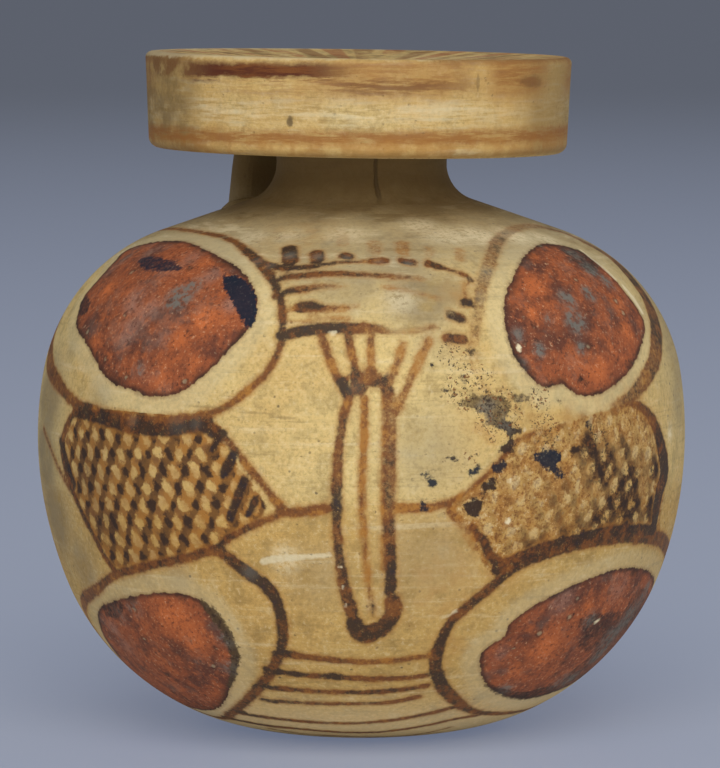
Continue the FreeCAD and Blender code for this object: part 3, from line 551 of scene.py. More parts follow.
def apply_modifier(item, kind, **settings):
    choose(item)
    bpy.ops.object.modifier_add(type=kind)
    modifier = item.modifiers[-1]
    for name, value in settings.items():
        setattr(modifier, name, value)
    bpy.ops.object.modifier_apply(modifier=modifier.name)


def arc(centre, radius, start, end, spacing):
    """Points of an arc in the plane of out and up, both its ends among them."""
    count = max(2, math.ceil(abs(end - start) * radius / spacing))
    angles = np.linspace(start, end, count + 1)
    return [(centre[0] + radius * math.cos(angle), centre[1] + radius * math.sin(angle)) for angle in angles]


def chain(*runs):
    """Runs of points as one line, without the points that two runs share."""
    points = []
    for run in runs:
        for point in run:
            if not points or math.dist(points[-1], point) > 1e-6:
                points.append(point)
    return points


def straight(spacing, *corners):
    """Points of straight runs from corner to corner."""
    runs = []
    for start, end in zip(corners, corners[1:]):
        count = max(1, math.ceil(math.dist(start, end) / spacing))
        runs.append([tuple(point) for point in np.linspace(start, end, count + 1)])
    return chain(*runs)


def collar_radius(globe, neck):
    return neck.radius + neck.luting_round * (1 - math.sin(globe.shoulder_angle))


def wall_line(globe, neck, inset, floor, end_share, spacing):
    """The globe's outline from the base to the collar, drawn in by inset: four arcs and the slope."""
    slope = globe.shoulder_angle
    belly = globe.belly_radius - inset
    out = belly - globe.base_radius
    rise = globe.belly_height - floor
    part = globe.base_round
    flat_round = (out**2 + rise**2 - 2 * part * out * rise) / (2 * rise * (1 - part))
    base = part * out if out < rise else flat_round
    low = (out**2 + rise**2 - 2 * rise * base) / (2 * (out - base))

    collar = collar_radius(globe, neck) - inset * math.sin(slope)
    collar_up = globe.collar_height - inset * math.cos(slope)
    reach = belly - collar
    least = max(0, reach * (1 + math.sin(slope)) - (collar_up - globe.belly_height) * math.cos(slope))
    run = least + globe.slope_share * (reach - least)
    start = (collar + run, collar_up - run * math.tan(slope))
    left = (1 - end_share) * run
    end = (collar + left, collar_up - left * math.tan(slope))
    shoulder = globe.shoulder_round * (belly - start[0]) / (1 - math.sin(slope))
    centre = (start[0] - shoulder * math.sin(slope), start[1] - shoulder * math.cos(slope))
    gap = belly - centre[0] - shoulder
    high = shoulder + gap / 2 + (centre[1] - globe.belly_height) ** 2 / (2 * gap)

    base_centre = (globe.base_radius, floor + base)
    low_centre = (belly - low, globe.belly_height)
    high_centre = (belly - high, globe.belly_height)
    low_end = math.atan2(base_centre[1] - low_centre[1], base_centre[0] - low_centre[0])
    high_end = math.atan2(centre[1] - high_centre[1], centre[0] - high_centre[0])
    return chain(
        arc(base_centre, base, -math.pi / 2, low_end, spacing),
        arc(low_centre, low, low_end, 0, spacing),
        arc(high_centre, high, 0, high_end, spacing),
        arc(centre, shoulder, high_end, math.pi / 2 - slope, spacing),
        straight(spacing, start, end),
    )

def seat_height(globe, neck):
    """Where the neck and its luting stand in the shoulder."""
    return globe.collar_height - neck.luting_depth


def disc_foot(globe, neck):
    return globe.collar_height + neck.exposed


def draw_section(name, points, azimuth):
    """The half section as a chain of edges at one azimuth, drawn on point by point from one corner."""
    deselect()
    bpy.ops.mesh.primitive_circle_add(vertices=3, radius=MM, fill_type="NOTHING", location=(0, 0, 0))
    item = bpy.context.object
    item.name = name
    edit(item)
    bpy.ops.mesh.merge(type="CENTER")
    outward = Vector((*facing(azimuth), 0))
    places = [outward * radius + Vector((0, 0, height)) for radius, height in points]
    bpy.ops.transform.translate(value=places[0])
    for before, after in zip(places, places[1:]):
        bpy.ops.mesh.extrude_region_move(TRANSFORM_OT_translate={"value": after - before})
    leave()
    return item


def join_ends(item, count):
    """Closes a chain of so many corners with one more edge."""
    edit(item)
    bpy.ops.mesh.select_all(action="DESELECT")
    leave()
    for end in (0, count - 1):
        item.data.vertices[end].select = True
    bpy.ops.object.mode_set(mode="EDIT")
    bpy.ops.mesh.edge_face_add()
    leave()


def turned(name, points, sectors, closed=False):
    """A form thrown on the wheel: its section swept round the axis, one sector after another.

    Each sector is where it starts, how far it turns and in how many steps.
    """
    parts = []
    for number, (start, angle, steps) in enumerate(sectors):
        part = draw_section(f"{name}_{number}", points, start)
        if closed:
            join_ends(part, len(points))
        apply_modifier(part, "SCREW", axis="Z", angle=angle, steps=steps, render_steps=steps,
                       use_merge_vertices=False, use_smooth_shade=True)
        parts.append(part)
    item = parts[0]
    choose(item)
    for part in parts[1:]:
        part.select_set(True)
    if len(parts) > 1:
        bpy.ops.object.join()
    item.name = name
    item.data.name = name
    merge_and_face_out(item, threshold=3e-7)
    return item


def full_turn(steps):
    return [(-math.pi, 2 * math.pi, steps)]


def corners_of(item):
    """The corners of a mesh as an array of places."""
    places = np.empty(len(item.data.vertices) * 3)
    item.data.vertices.foreach_get("co", places)
    return places.reshape(-1, 3)


def move_corners(item, places):
    item.data.vertices.foreach_set("co", np.ascontiguousarray(places, dtype=np.float32).ravel())
    item.data.update()


def waver(places, size, seed):
    """Smooth strays of a potter's hand, between about -1 and 1, with waves of about this size."""
    generator = np.random.default_rng(seed)
    total = np.zeros(len(places))
    for number in range(6):
        direction = generator.normal(size=3)
        direction *= 2 * math.pi / (size * (0.7 + 0.25 * number)) / np.linalg.norm(direction)
        total += np.sin(places @ direction + generator.uniform(0, 2 * math.pi))
    return total / 3


def stray(item, amount, size, seed, keep=lambda places: 1.0):
    """Moves each corner in or out from the axis by a little, less where keep is small."""
    places = corners_of(item)
    away = places.copy()
    away[:, 2] = 0
    away /= np.maximum(np.linalg.norm(away, axis=1), 1e-6)[:, None]
    move_corners(item, places + away * (amount * waver(places, size, seed) * keep(places))[:, None])


def finish_piece(item, node, material):
    """Sets the shading, the material and what the piece stands for."""
    choose(item)
    bpy.ops.object.shade_smooth_by_angle(angle=math.radians(40))
    item.data.materials.clear()
    item.data.materials.append(material)
    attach(item, "root")
    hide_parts(node)


# Laying the ornament on the globe


class Sight:
    """Where a pixel of the photograph falls on the globe, seen through the scene's own camera."""

    # How far along a ray the globe can be, in metres.
    DEPTHS = np.arange(0.40, 0.54, 0.0001)

    def __init__(self, studio, wall):
        self.eye = np.array(camera_place(studio))
        self.turn = np.array(camera_turn(studio).to_matrix())
        self.focus = studio.lens / SENSOR * PHOTO_HEIGHT
        self.azimuth = studio.azimuth
        self.radii, self.heights = np.array(wall).T

    def radius_at(self, heights):
        return np.interp(heights, self.heights, self.radii, left=-1, right=-1)

    def fall(self, pixels):
        """Each pixel's place on the globe. One that misses it falls on the nearest part of its outline."""
        pixels = np.asarray(pixels, float)
        across = (pixels[:, 0] - PHOTO_WIDTH / 2) / self.focus
        up = (PHOTO_HEIGHT / 2 - pixels[:, 1]) / self.focus
        rays = np.stack([across, up, -np.ones(len(pixels))], axis=1) @ self.turn.T
        places = self.eye + self.DEPTHS[None, :, None] * rays[:, None, :]
        gaps = np.hypot(places[..., 0], places[..., 1]) - self.radius_at(places[..., 2])
        hits = gaps < 0
        nearest = np.where(hits.any(1), hits.argmax(1), gaps.argmin(1))
        found = places[np.arange(len(pixels)), nearest]
        away = found[:, :2] / np.hypot(found[:, 0], found[:, 1])[:, None]
        found[:, :2] = away * self.radius_at(found[:, 2])[:, None]
        return found

    def around(self, turns):
        """Places given as degrees round from the middle of the view and millimetres up."""
        places = []
        for degrees, height in turns:
            radius = float(self.radius_at(height * MM))
            x, y = facing(self.azimuth + math.radians(degrees))
            places.append((x * radius, y * radius, height * MM))
        return np.array(places).reshape(-1, 3)


def smooth_line(places, closed=False, cuts=6):
    """A line through all places without corners. Also gives how far along the list each point is."""
    count = len(places)
    if count < 3:
        return places, np.arange(count, dtype=float)
    spans = count if closed else count - 1
    points, steps = [], []
    for span in range(spans):
        numbers = [span + shift for shift in (-1, 0, 1, 2)]
        if closed:
            numbers = [number % count for number in numbers]
        else:
            numbers = [min(max(number, 0), count - 1) for number in numbers]
        before, start, end, after = (places[number] for number in numbers)
        for cut in range(cuts):
            t = cut / cuts
            points.append(0.5 * (2 * start + (end - before) * t
                                 + (2 * before - 5 * start + 4 * end - after) * t**2
                                 + (3 * start - before - 3 * end + after) * t**3))
            steps.append(span + t)
    points.append(places[0] if closed else places[-1])
    steps.append(float(spans))
    return np.array(points), np.array(steps)


def distance_to_line(corners, line):
    """Each corner's distance from a line of points, and how far along the line its nearest point is."""
    if len(line) == 1:
        return np.linalg.norm(corners - line[0], axis=1), np.zeros(len(corners))
    starts = line[:-1]
    runs = line[1:] - starts
    squares = np.maximum((runs**2).sum(1), 1e-12)
    best = np.full(len(corners), np.inf)
    along = np.zeros(len(corners))
    for number, (start, run, square) in enumerate(zip(starts, runs, squares)):
        share_along = np.clip((corners - start) @ run / square, 0, 1)
        gap = np.linalg.norm(corners - start - share_along[:, None] * run, axis=1)
        nearer = gap < best
        best[nearer] = gap[nearer]
        along[nearer] = number + share_along[nearer]
    return best, along


def spread(values, count):
    """One value or several, as count values spread evenly."""
    values = np.atleast_1d(np.asarray(values, float))
    return np.interp(np.linspace(0, 1, max(count, 1)), np.linspace(0, 1, len(values)), values)


def dabs(rows):
    """Short strokes from one pixel to another, or a single dot where the two are the same."""
    return [Brush([(x, y), (to_x, to_y)], *laid) for x, y, to_x, to_y, *laid in rows]


class Ornament:
    """Fields over the globe's corners that say where paint lies. Distances are in millimetres."""

    FAR = 4.0
    # The radius of the globe where a pixel's size is taken, in metres.
    FRONT = 0.03
    # How far above half its height the middle of an outline looks back to, and how far behind it counts.
    CORE_LIFT = 0.014
    BEHIND = 0.02
    # What stands where no paint is near: its weight, load and cover.
    NOTHING = (1e-9, 0.3e-9, 0.5e-9)
    # How fast the say of a stroke fades away from it, and how deep inside it that still grows.
    PULL = 7
    DEEPEST = 1.2

    def __init__(self, item, sight):
        self.mesh = item.data
        self.sight = sight
        self.corners = corners_of(item)
        self.pixel = 1 / sight.focus * float(np.linalg.norm(sight.eye[:2]) - self.FRONT) / MM

    def near(self, line):
        """The numbers of the corners that a line can reach."""
        low, high = line.min(0) - self.FAR * MM, line.max(0) + self.FAR * MM
        return np.flatnonzero(((self.corners > low) & (self.corners < high)).all(1))

    def keep(self, name, values):
        field = self.mesh.attributes.new(name, "FLOAT", "POINT")
        field.data.foreach_set("value", np.ascontiguousarray(values, dtype=np.float32))

    def inside(self, corners, outline):
        """Whether each corner lies within an outline, looking straight at the outline's middle."""
        middle = outline.mean(0)
        out = middle - np.array((0, 0, middle[2] * 0.5 + self.CORE_LIFT))
        out /= np.linalg.norm(out)
        side = np.cross((0, 0, 1), out)
        side /= np.linalg.norm(side)
        flat = np.stack([side, np.cross(out, side)])
        points, fence = (corners - middle) @ flat.T, (outline - middle) @ flat.T
        within = np.zeros(len(corners), bool)
        for start, end in zip(fence, np.roll(fence, -1, axis=0)):
            crosses = (start[1] > points[:, 1]) != (end[1] > points[:, 1])
            rise = np.where(end[1] == start[1], 1e-12, end[1] - start[1])
            reach = (end[0] - start[0]) * (points[:, 1] - start[1]) / rise + start[0]
            within ^= crosses & (points[:, 0] < reach)
        return within & ((corners - middle) @ out > -self.BEHIND)

    def outline_gap(self, pixels):
        """The corners near a closed outline and their distance from it, negative inside it."""
        line, _ = smooth_line(self.sight.fall(pixels), closed=True)
        chosen = self.near(line)
        gap = distance_to_line(self.corners[chosen], line)[0] / MM
        return chosen, np.where(self.inside(self.corners[chosen], line[:-1]), -gap, gap)

    def outline_field(self, outlines):
        """Distance from the nearest of some closed outlines, negative inside them."""
        field = np.full(len(self.corners), self.FAR)
        for pixels in outlines:
            chosen, gap = self.outline_gap(pixels)
            field[chosen] = np.minimum(field[chosen], gap)
        return field

    def brush_fields(self, strokes, patches):
        """Distance from the nearest edge of paint, negative inside it, and how thick the paint is there."""
        edge = np.full(len(self.corners), self.FAR)
        weight, load, cover = (np.full(len(self.corners), value) for value in self.NOTHING)

        def lay(chosen, gap, thickness, hidden):
            edge[chosen] = np.minimum(edge[chosen], gap)
            pull = np.exp(-self.PULL * np.clip(gap, -self.DEEPEST, self.FAR))
            weight[chosen] += pull
            load[chosen] += pull * thickness
            cover[chosen] += pull * hidden

        for stroke in strokes:
            places = self.sight.fall(stroke.points)
            if stroke.around:
                places = np.concatenate([places, self.sight.around(stroke.around)])
            line, steps = smooth_line(places, stroke.closed)
            count = len(places) + int(stroke.closed)
            chosen = self.near(line)
            gap, along = distance_to_line(self.corners[chosen], line)
            given, drawn = np.arange(count), np.arange(len(line))
            width, thickness, hidden = (
                np.interp(along, drawn, np.interp(steps, given, spread(value, count)))
                for value in (stroke.width, stroke.load, stroke.cover)
            )
            lay(chosen, gap / MM - width * self.pixel / 2, thickness, hidden)
        for patch in patches:
            lay(*self.outline_gap(patch.points), patch.load, patch.cover)
        return {"edge": edge, "load": load / weight, "cover": cover / weight}

    def spot_field(self, spots):
        """Soft round spots over each other, 0 to 1. Each is full to 0.4 of its radius and gone at 1.4."""
        field = np.zeros(len(self.corners))
        for x, y, radius, strength in spots:
            centre = self.sight.fall([(x, y)])[0]
            gap = np.linalg.norm(self.corners - centre, axis=1) / MM / (radius * self.pixel)
            field = np.maximum(field, strength * np.clip(1.4 - gap, 0, 1) ** 1.5)
        return np.clip(field, 0, 1)

    def net_fields(self):
        """The nets' edge, how firm they are, and where corners lie on their two families of threads."""
        round_from_view = np.arctan2(self.corners[:, 0], -self.corners[:, 1]) - self.sight.azimuth
        families = np.zeros((len(self.corners), 2))
        for side, steps in NET_STEPS.items():
            crossing = self.sight.fall([NET_CROSSING[side]])[0]
            turn_there = math.atan2(crossing[0], -crossing[1]) - self.sight.azimuth
            across = (round_from_view - turn_there) * math.hypot(crossing[0], crossing[1])
            flat = np.stack([across, self.corners[:, 2] - crossing[2]], axis=1) / MM
            chosen = round_from_view < 0 if side == "left" else round_from_view >= 0
            families[chosen] = (flat @ np.linalg.inv(np.array(steps)))[chosen]
        return {
            "edge": self.outline_field(NETS.values()),
            "firm": np.where(round_from_view < 0, 1, self.spot_field(SPOTS["charred"])),
            "first": families[:, 0],
            "second": families[:, 1],
        }

    def paint(self):
        lines = [line for table in (RINGS, NET_EDGES, MIDDLE, TOP_BAND, FOOT_BAND) for line in table.values()]
        fields = {
            "paint": self.brush_fields([*lines, *dabs(DABS)], ()),
            "spill": self.brush_fields(dabs(SPLASHES), PATCHES.values()),
            "scratch": self.brush_fields([*SCRATCHES.values(), *dabs(CHIPS)], ()),
            "leaf": {"edge": self.outline_field(LEAVES.values())},
            "net": self.net_fields(),
        }
        for kind, parts in fields.items():
            for part, values in parts.items():
                self.keep(f"{kind}_{part}", values)
        for name, spots in SPOTS.items():
            self.keep(name, self.spot_field(spots))


# Materials


def by_node(operation):
    """A method that hands its values to a node for maths."""
    return lambda self, *others: self.maths(operation, self, *others)


class Wire:
    """What comes out of a node, so that shader maths reads as arithmetic."""

    def __init__(self, graph, socket):
        self.graph = graph
        self.socket = socket

    def maths(self, operation, *values):
        return self.graph.node("ShaderNodeMath", {"operation": operation}, dict(enumerate(values)))

    __add__ = __radd__ = by_node("ADD")
    __sub__ = by_node("SUBTRACT")
    __mul__ = __rmul__ = by_node("MULTIPLY")
    __truediv__ = by_node("DIVIDE")
    most = by_node("MAXIMUM")
    least = by_node("MINIMUM")
    size = by_node("ABSOLUTE")
    root = by_node("SQRT")
    part = by_node("FRACT")  # what is left after the last whole number

    def __rsub__(self, other):
        return self.maths("SUBTRACT", other, self)

    def round_axis(self, towards):
        """The angle round the axis in degrees, this value being how far to the right it lies."""
        return self.maths("ARCTAN2", self, towards) * math.degrees(1)

    def ragged(self, *noises):
        """Pushed up and down by noises, each of them given with the width of its push."""
        total = self
        for amount, noise in noises:
            total = total + amount * noise - amount / 2
        return total

    def fade(self, start, end):
        """0 at start and 1 at end, eased, whichever of the two is the larger."""
        return self.graph.node("ShaderNodeMapRange", {"interpolation_type": "SMOOTHSTEP"},
                               {"Value": self, "From Min": start, "From Max": end})


class Graph:
    """The nodes of one material."""

    def __init__(self, name):
        self.material = bpy.data.materials.new(name)
        self.material.use_nodes = True
        self.tree = self.material.node_tree
        self.tree.nodes.clear()

    def node(self, kind, settings=None, values=None, out=0):
        """Adds a node, sets it up, fills or links its sockets and gives one of its outputs."""
        made = self.tree.nodes.new(kind)
        for name, value in (settings or {}).items():
            setattr(made, name, value)
        for name, value in (values or {}).items():
            if isinstance(value, Wire):
                self.tree.links.new(value.socket, made.inputs[name])
            else:
                made.inputs[name].default_value = value
        return Wire(self, made.outputs[out]) if made.outputs else None

    def field(self, name):
        return self.node("ShaderNodeAttribute", {"attribute_name": name}, out="Fac")

    def place(self, stretch=(1, 1, 1)):
        """Place on the object in millimetres, each direction stretched."""
        seen = self.node("ShaderNodeTexCoord", out="Object")
        scale = tuple(1000 * part for part in stretch)
        return self.node("ShaderNodeVectorMath", {"operation": "MULTIPLY"}, {0: seen, 1: scale})

    def split(self, vector):
        parts = self.tree.nodes.new("ShaderNodeSeparateXYZ")
        self.tree.links.new(vector.socket, parts.inputs[0])
        return [Wire(self, output) for output in parts.outputs]

    def noise(self, place, scale, detail=3.0, roughness=0.55, out=0):
        values = {"Vector": place, "Scale": scale, "Detail": detail, "Roughness": roughness}
        return self.node("ShaderNodeTexNoise", None, values, out)

    def cells(self, place, scale):
        """How far the nearest of many scattered points is."""
        return self.node("ShaderNodeTexVoronoi", None, {"Vector": place, "Scale": scale}, "Distance")

    def mix(self, factor, first, second):
        """From the first colour to the second."""
        first, second = (value if isinstance(value, Wire) else (*value, 1.0) for value in (first, second))
        return self.node("ShaderNodeMix", {"data_type": "RGBA"}, {0: factor, 6: first, 7: second}, out=2)

    def layers(self, tone, rows, within=None):
        """Lays paints over a tone one after another. Each row says how much of which paint."""
        for amount, paint in rows:
            tone = self.mix(amount if within is None else within * amount, tone, paint)
        return tone

    def shift(self, place, noise, amount):
        """A place pushed about by a noise, so that what is drawn there loses its straight edges."""
        push = self.node("ShaderNodeVectorMath", {"operation": "SCALE"}, {0: noise, "Scale": amount})
        return self.node("ShaderNodeVectorMath", {"operation": "ADD"}, {0: place, 1: push})

    def finish(self, tone, roughness, height, depth):
        """Closes the material: a matt fired surface with its grain as relief."""
        bump = self.node("ShaderNodeBump", None, {"Strength": 1.0, "Distance": depth, "Height": height})
        values = {"Base Color": tone, "Roughness": roughness, "Specular IOR Level": 0.2, "Normal": bump}
        surface = self.node("ShaderNodeBsdfPrincipled", None, values)
        self.node("ShaderNodeOutputMaterial", None, {"Surface": surface})
        return self.material


def bare_clay(graph, paints, upper):
    """The unpainted clay: the place on it, its colour, its relief in millimetres and its mottle."""
    place = graph.place()
    up = graph.split(place)[2]
    cloud = graph.noise(place, 0.07, 3)
    mottle = graph.noise(place, 0.42, 5, 0.62)
    grain = graph.noise(place, 2.4, 4, 0.7)
    wheel = graph.noise(graph.place((0.06, 0.06, 1.0)), 1.3, 5, 0.7)
    dirt = graph.noise(graph.shift(place, graph.noise(place, 0.3), 3.0), 0.9, 6, 0.7)
    stain = graph.noise(place, 0.17, 5, 0.68)
    specks = graph.cells(place, 0.62).fade(0.13, 0.05) * grain.fade(0.42, 0.54)
    pits = graph.cells(place, 1.3).fade(0.16, 0.06) * mottle.fade(0.5, 0.6)

    tone = graph.mix((up + 6 * cloud + 2 * wheel).fade(26.6, 30.4), paints.clay_low, upper)
    tone = graph.layers(tone, (
        ((cloud + 0.35 * mottle).fade(0.58, 0.95) * 0.55, paints.clay_warm),
        (stain.fade(0.52, 0.74) * 0.38, paints.grime_and_shade),
        (mottle.fade(0.52, 0.34) * 0.32, paints.grime_and_shade),
        (mottle.fade(0.54, 0.72) * 0.30, paints.pale_clay_and_highlight),
        (wheel.fade(0.54, 0.72) * 0.36, paints.grime_and_shade),
        (wheel.fade(0.45, 0.30) * 0.28, paints.cream_and_light),
        (grain.fade(0.52, 0.36) * 0.28, paints.grime_and_shade),
        (grain.fade(0.53, 0.68) * 0.24, paints.cream_and_light),
        (dirt.fade(0.58, 0.74) * 0.36, paints.grime_and_shade),
        (specks * 0.7, paints.dark),
    ))
    return place, tone, 0.08 * grain + 0.06 * wheel + 0.08 * mottle - 0.10 * pits, mottle


def stain_of(graph, place):
    """Broad uneven skins of dirt, from 0 to 1."""
    return graph.noise(place, 0.3, 5, 0.7).fade(0.52, 0.66)


def off_centre(first, second):
    """How far a place lies from the middle of its cell of 1 by 1, squared."""
    along, beside = first.part() - 0.5, second.part() - 0.5
    return along * along + beside * beside


def painted_clay(paints):
    """The globe: line painting and red infill on smoothed clay."""
    graph = Graph("globe_surface")
    place, tone, relief, mottle = bare_clay(graph, paints, paints.clay)
    up = graph.split(place)[2]
    fray = graph.noise(place, 1.5, 4, 0.65)
    blot = graph.noise(place, 0.62, 3, 0.6)
    cloud = graph.noise(place, 0.2, 4, 0.62)
    flake = graph.noise(place, 2.2, 5, 0.75)
    grit = graph.noise(place, 3.0, 4, 0.75)
    smear = graph.noise(graph.place((0.12, 0.12, 1.0)), 0.9, 5, 0.7)
    greyed = graph.field("greyed")

    # Towards the neck the shoulder greys and darkens in streaks, partly dust and partly painted shade under
    # the overhanging disc, and the right of the middle is flushed with old paint.
    high = (up + 4 * cloud + 3 * smear).fade(46.8, 51.5)
    soiled_and_shaded = graph.field("soiled_and_shaded")
    flushed = graph.field("flushed")
    tone = graph.layers(tone, (
        # Painted shade, partly dust: these spots darken the globe's edges and the shoulder.
        (soiled_and_shaded * mottle.fade(0.25, 0.55) * 0.8, paints.dust_and_shade),
        (soiled_and_shaded.fade(0.3, 1.0) * 0.4, paints.grime_and_shade),
        (high * 0.60, paints.dust_and_shade),
        (high * smear.fade(0.53, 0.68) * 0.5, paints.cream_and_light),
        (high * smear.fade(0.47, 0.33) * 0.6, paints.grime_and_shade),
        # Painted shade: the collar by the neck turns dark brown under the disc.
        ((up + 3 * cloud).fade(50.6, 52.4) * 0.6, paints.neck),
        # Painted light: the clay turns pale near the foot, as if lit from the floor.
        ((up + 2 * mottle).fade(9.0, 2.0) * 0.42, paints.cream_and_light),
        (flushed * mottle.fade(0.30, 0.60) * 0.8, paints.clay_warm),
        (flushed * blot.fade(0.44, 0.66) * 0.6, paints.wash),
        (flushed * flake.fade(0.54, 0.70) * 0.5, paints.brown),
        (graph.field("paled") * flake.fade(0.35, 0.55) * 0.9, paints.cream_and_light),
    ))

    # Red leaves, clouded, gritty and pitted, with a dark rim.
    leaf = graph.field("leaf_edge").ragged((0.7, fray))
    veil = (greyed * (0.25 + 1.3 * fray.fade(0.42, 0.58))).least(1.0).most(stain_of(graph, place) * 0.24)
    pocks = graph.cells(graph.shift(place, fray, 0.5), 0.5)
    some = mottle.fade(0.48, 0.53)
    red = graph.mix(cloud.fade(0.44, 0.60), paints.red, paints.red_deep)
    red = graph.layers(red, (
        ((graph.field("bright") * 0.85 + blot.fade(0.50, 0.68) * 0.4).least(1.0), paints.red_bright),
        (graph.field("pinked") * mottle.fade(0.30, 0.55) * 0.8, paints.pink),
        (fray.fade(0.48, 0.34) * 0.50, paints.red_deep),
        (fray.fade(0.54, 0.68) * 0.40, paints.red_bright),
        (grit.fade(0.46, 0.32) * 0.60, paints.dark),
        (grit.fade(0.57, 0.72) * 0.38, paints.cream_and_light),
        (flake.fade(0.55, 0.68) * 0.50, paints.red_deep),
        (veil * 0.85, paints.patina),
        (pocks.fade(0.30, 0.18) * some * 0.45, paints.dark),
        (pocks.fade(0.17, 0.07) * some * 0.35, paints.pale_clay_and_highlight),
        (leaf.fade(-0.55, -0.12) * (0.2 + 1.2 * blot).least(1.0) * 0.85, paints.dark),
        (leaf.fade(-1.2, -0.4) * blot.fade(0.46, 0.62) * 0.55, paints.dark),
    ))
    tone = graph.layers(tone, (
        (leaf.fade(2.4, 1.2) * 0.3, paints.pale_clay_and_highlight),
        (leaf.fade(0.40, 0.02) * 0.35, paints.brown),
        (leaf.fade(0.07, -0.07), red),
    ))

    # Nets: two families of broad thin lines that turn dark where they cross, worn to ochre on the right.
    firm = graph.field("net_firm")
    worn = 1 - firm
    charred = graph.field("charred")
    first = graph.field("net_first").ragged((0.8, blot), (0.5, fray))
    second = graph.field("net_second").ragged((0.8, mottle), (0.5, flake))
    cell = off_centre(first, second).fade(0.135, 0.04)
    knots = off_centre(first + 0.5, second + 0.5).fade(0.105, 0.02)
    steep = ((first + 0.5).part() - 0.5).size().fade(0.30, 0.10)
    threads = 1 - cell
    ochre = graph.mix(blot.fade(0.36, 0.62), paints.wash, paints.clay_warm)
    ink = (0.14 + firm * (0.72 + 0.6 * flake.fade(0.34, 0.58))).least(1.0)
    tone = graph.layers(tone, (
        (0.52 + 0.24 * worn, ochre),
        (worn * fray.fade(0.52, 0.40) * 0.45, paints.brown),
        (worn * grit.fade(0.50, 0.36) * 0.75, paints.brown),
        (worn * cell * blot.fade(0.46, 0.60) * 0.28, paints.pale_clay_and_highlight),
        (worn * grit.fade(0.58, 0.70) * 0.6, paints.cream_and_light),
        (ink * threads * 0.85, graph.mix(blot.fade(0.42, 0.68), paints.wash, paints.brown)),
        (ink * steep * threads * 0.55, paints.dark),
        (ink * knots * 0.88, paints.dark),
        (charred * threads * 0.62, paints.dark),
        (charred.fade(0.2, 0.9) * flake.fade(0.46, 0.54) * 0.8, paints.dark),
    ), within=graph.field("net_edge").ragged((0.6, fray)).fade(0.12, -0.22))

    # Brush lines: an orange stain, the brown line, and a dark core where the paint is thick.
    edge = graph.field("paint_edge").ragged((0.5, fray), (0.5, blot))
    load = graph.field("paint_load").ragged((1.5, blot), (1.2, flake))
    wear = (graph.field("rubbed") * 0.9 + flake * 0.6).fade(0.62, 0.9)
    cover = graph.field("paint_cover").ragged((1.1, flake)).fade(0.0, 0.85) * (1 - wear * 0.85)
    covered = edge.fade(0.15, -0.18) * cover
    line = graph.mix(load.fade(0.0, 0.40), paints.wash, paints.brown)
    line = graph.layers(line, (
        (load.fade(0.38, 0.76), paints.dark),
        (load.fade(0.86, 1.05) * 0.55, paints.black),
        (grit.fade(0.57, 0.72) * 0.42, paints.clay_warm),
        (flake.fade(0.58, 0.72) * 0.30, paints.red),
        (greyed * (0.5 + 0.8 * blot).least(1.0) * 0.7, paints.patina),
    ))
    tone = graph.layers(tone, ((edge.fade(0.45, 0.0) * cover * 0.42, paints.wash), (covered * 0.94, line)))

    # Spilt and burnt paint, ragged at its edges, and crumbs of it thrown over the right of the middle.
    spill = graph.field("spill_edge").ragged((1.3, fray), (0.9, flake)).fade(0.16, -0.16)
    stuck = graph.field("spill_cover").ragged((1.4, flake)).fade(0.1, 0.75)
    thick = graph.field("spill_load")
    burnt = thick.fade(0.72, 0.92)
    pitch = graph.mix(thick.fade(0.30, 0.62), paints.grime_and_shade, paints.dark)
    pitch = graph.layers(pitch, (
        (greyed * mottle.fade(0.35, 0.6) * 0.75, paints.patina),
        (flake.fade(0.50, 0.60) * (1 - burnt) * 0.75, paints.dark),
        (burnt, paints.black),
        (grit.fade(0.57, 0.72) * 0.5, paints.patina),
    ))
    tone = graph.mix(spill * stuck * 0.95, tone, pitch)
    thrown = graph.field("specked").fade(0.05, 0.60)
    tossed = graph.shift(place, graph.noise(place, 1.8, 3, 0.6, out="Color"), 1.2)
    crumbs = (
        (0.8, 0.22, blot, paints.dark),
        (1.7, 0.30, mottle, paints.brown),
        (2.9, 0.36, blot, paints.dark),
    )
    for size, reach, gather, paint in crumbs:
        crumb = graph.cells(tossed, size).fade(reach, reach - 0.14)
        tone = graph.mix(crumb * thrown.ragged((1.6, gather)).fade(0.46, 0.80) * 0.85, tone, paint)

    # Scratches and chips over everything.
    scratch = graph.field("scratch_edge").ragged((0.4, fray)).fade(0.16, -0.06) * graph.field("scratch_cover")
    chalk = graph.mix(graph.field("scratch_load"), paints.grime_and_shade, paints.cream_and_light)
    tone = graph.mix(scratch * (0.5 + 0.8 * flake).least(1.0), tone, chalk)
    return graph.finish(tone, 0.66 + 0.14 * mottle - 0.08 * covered, relief + 0.03 * covered, depth=0.0008)


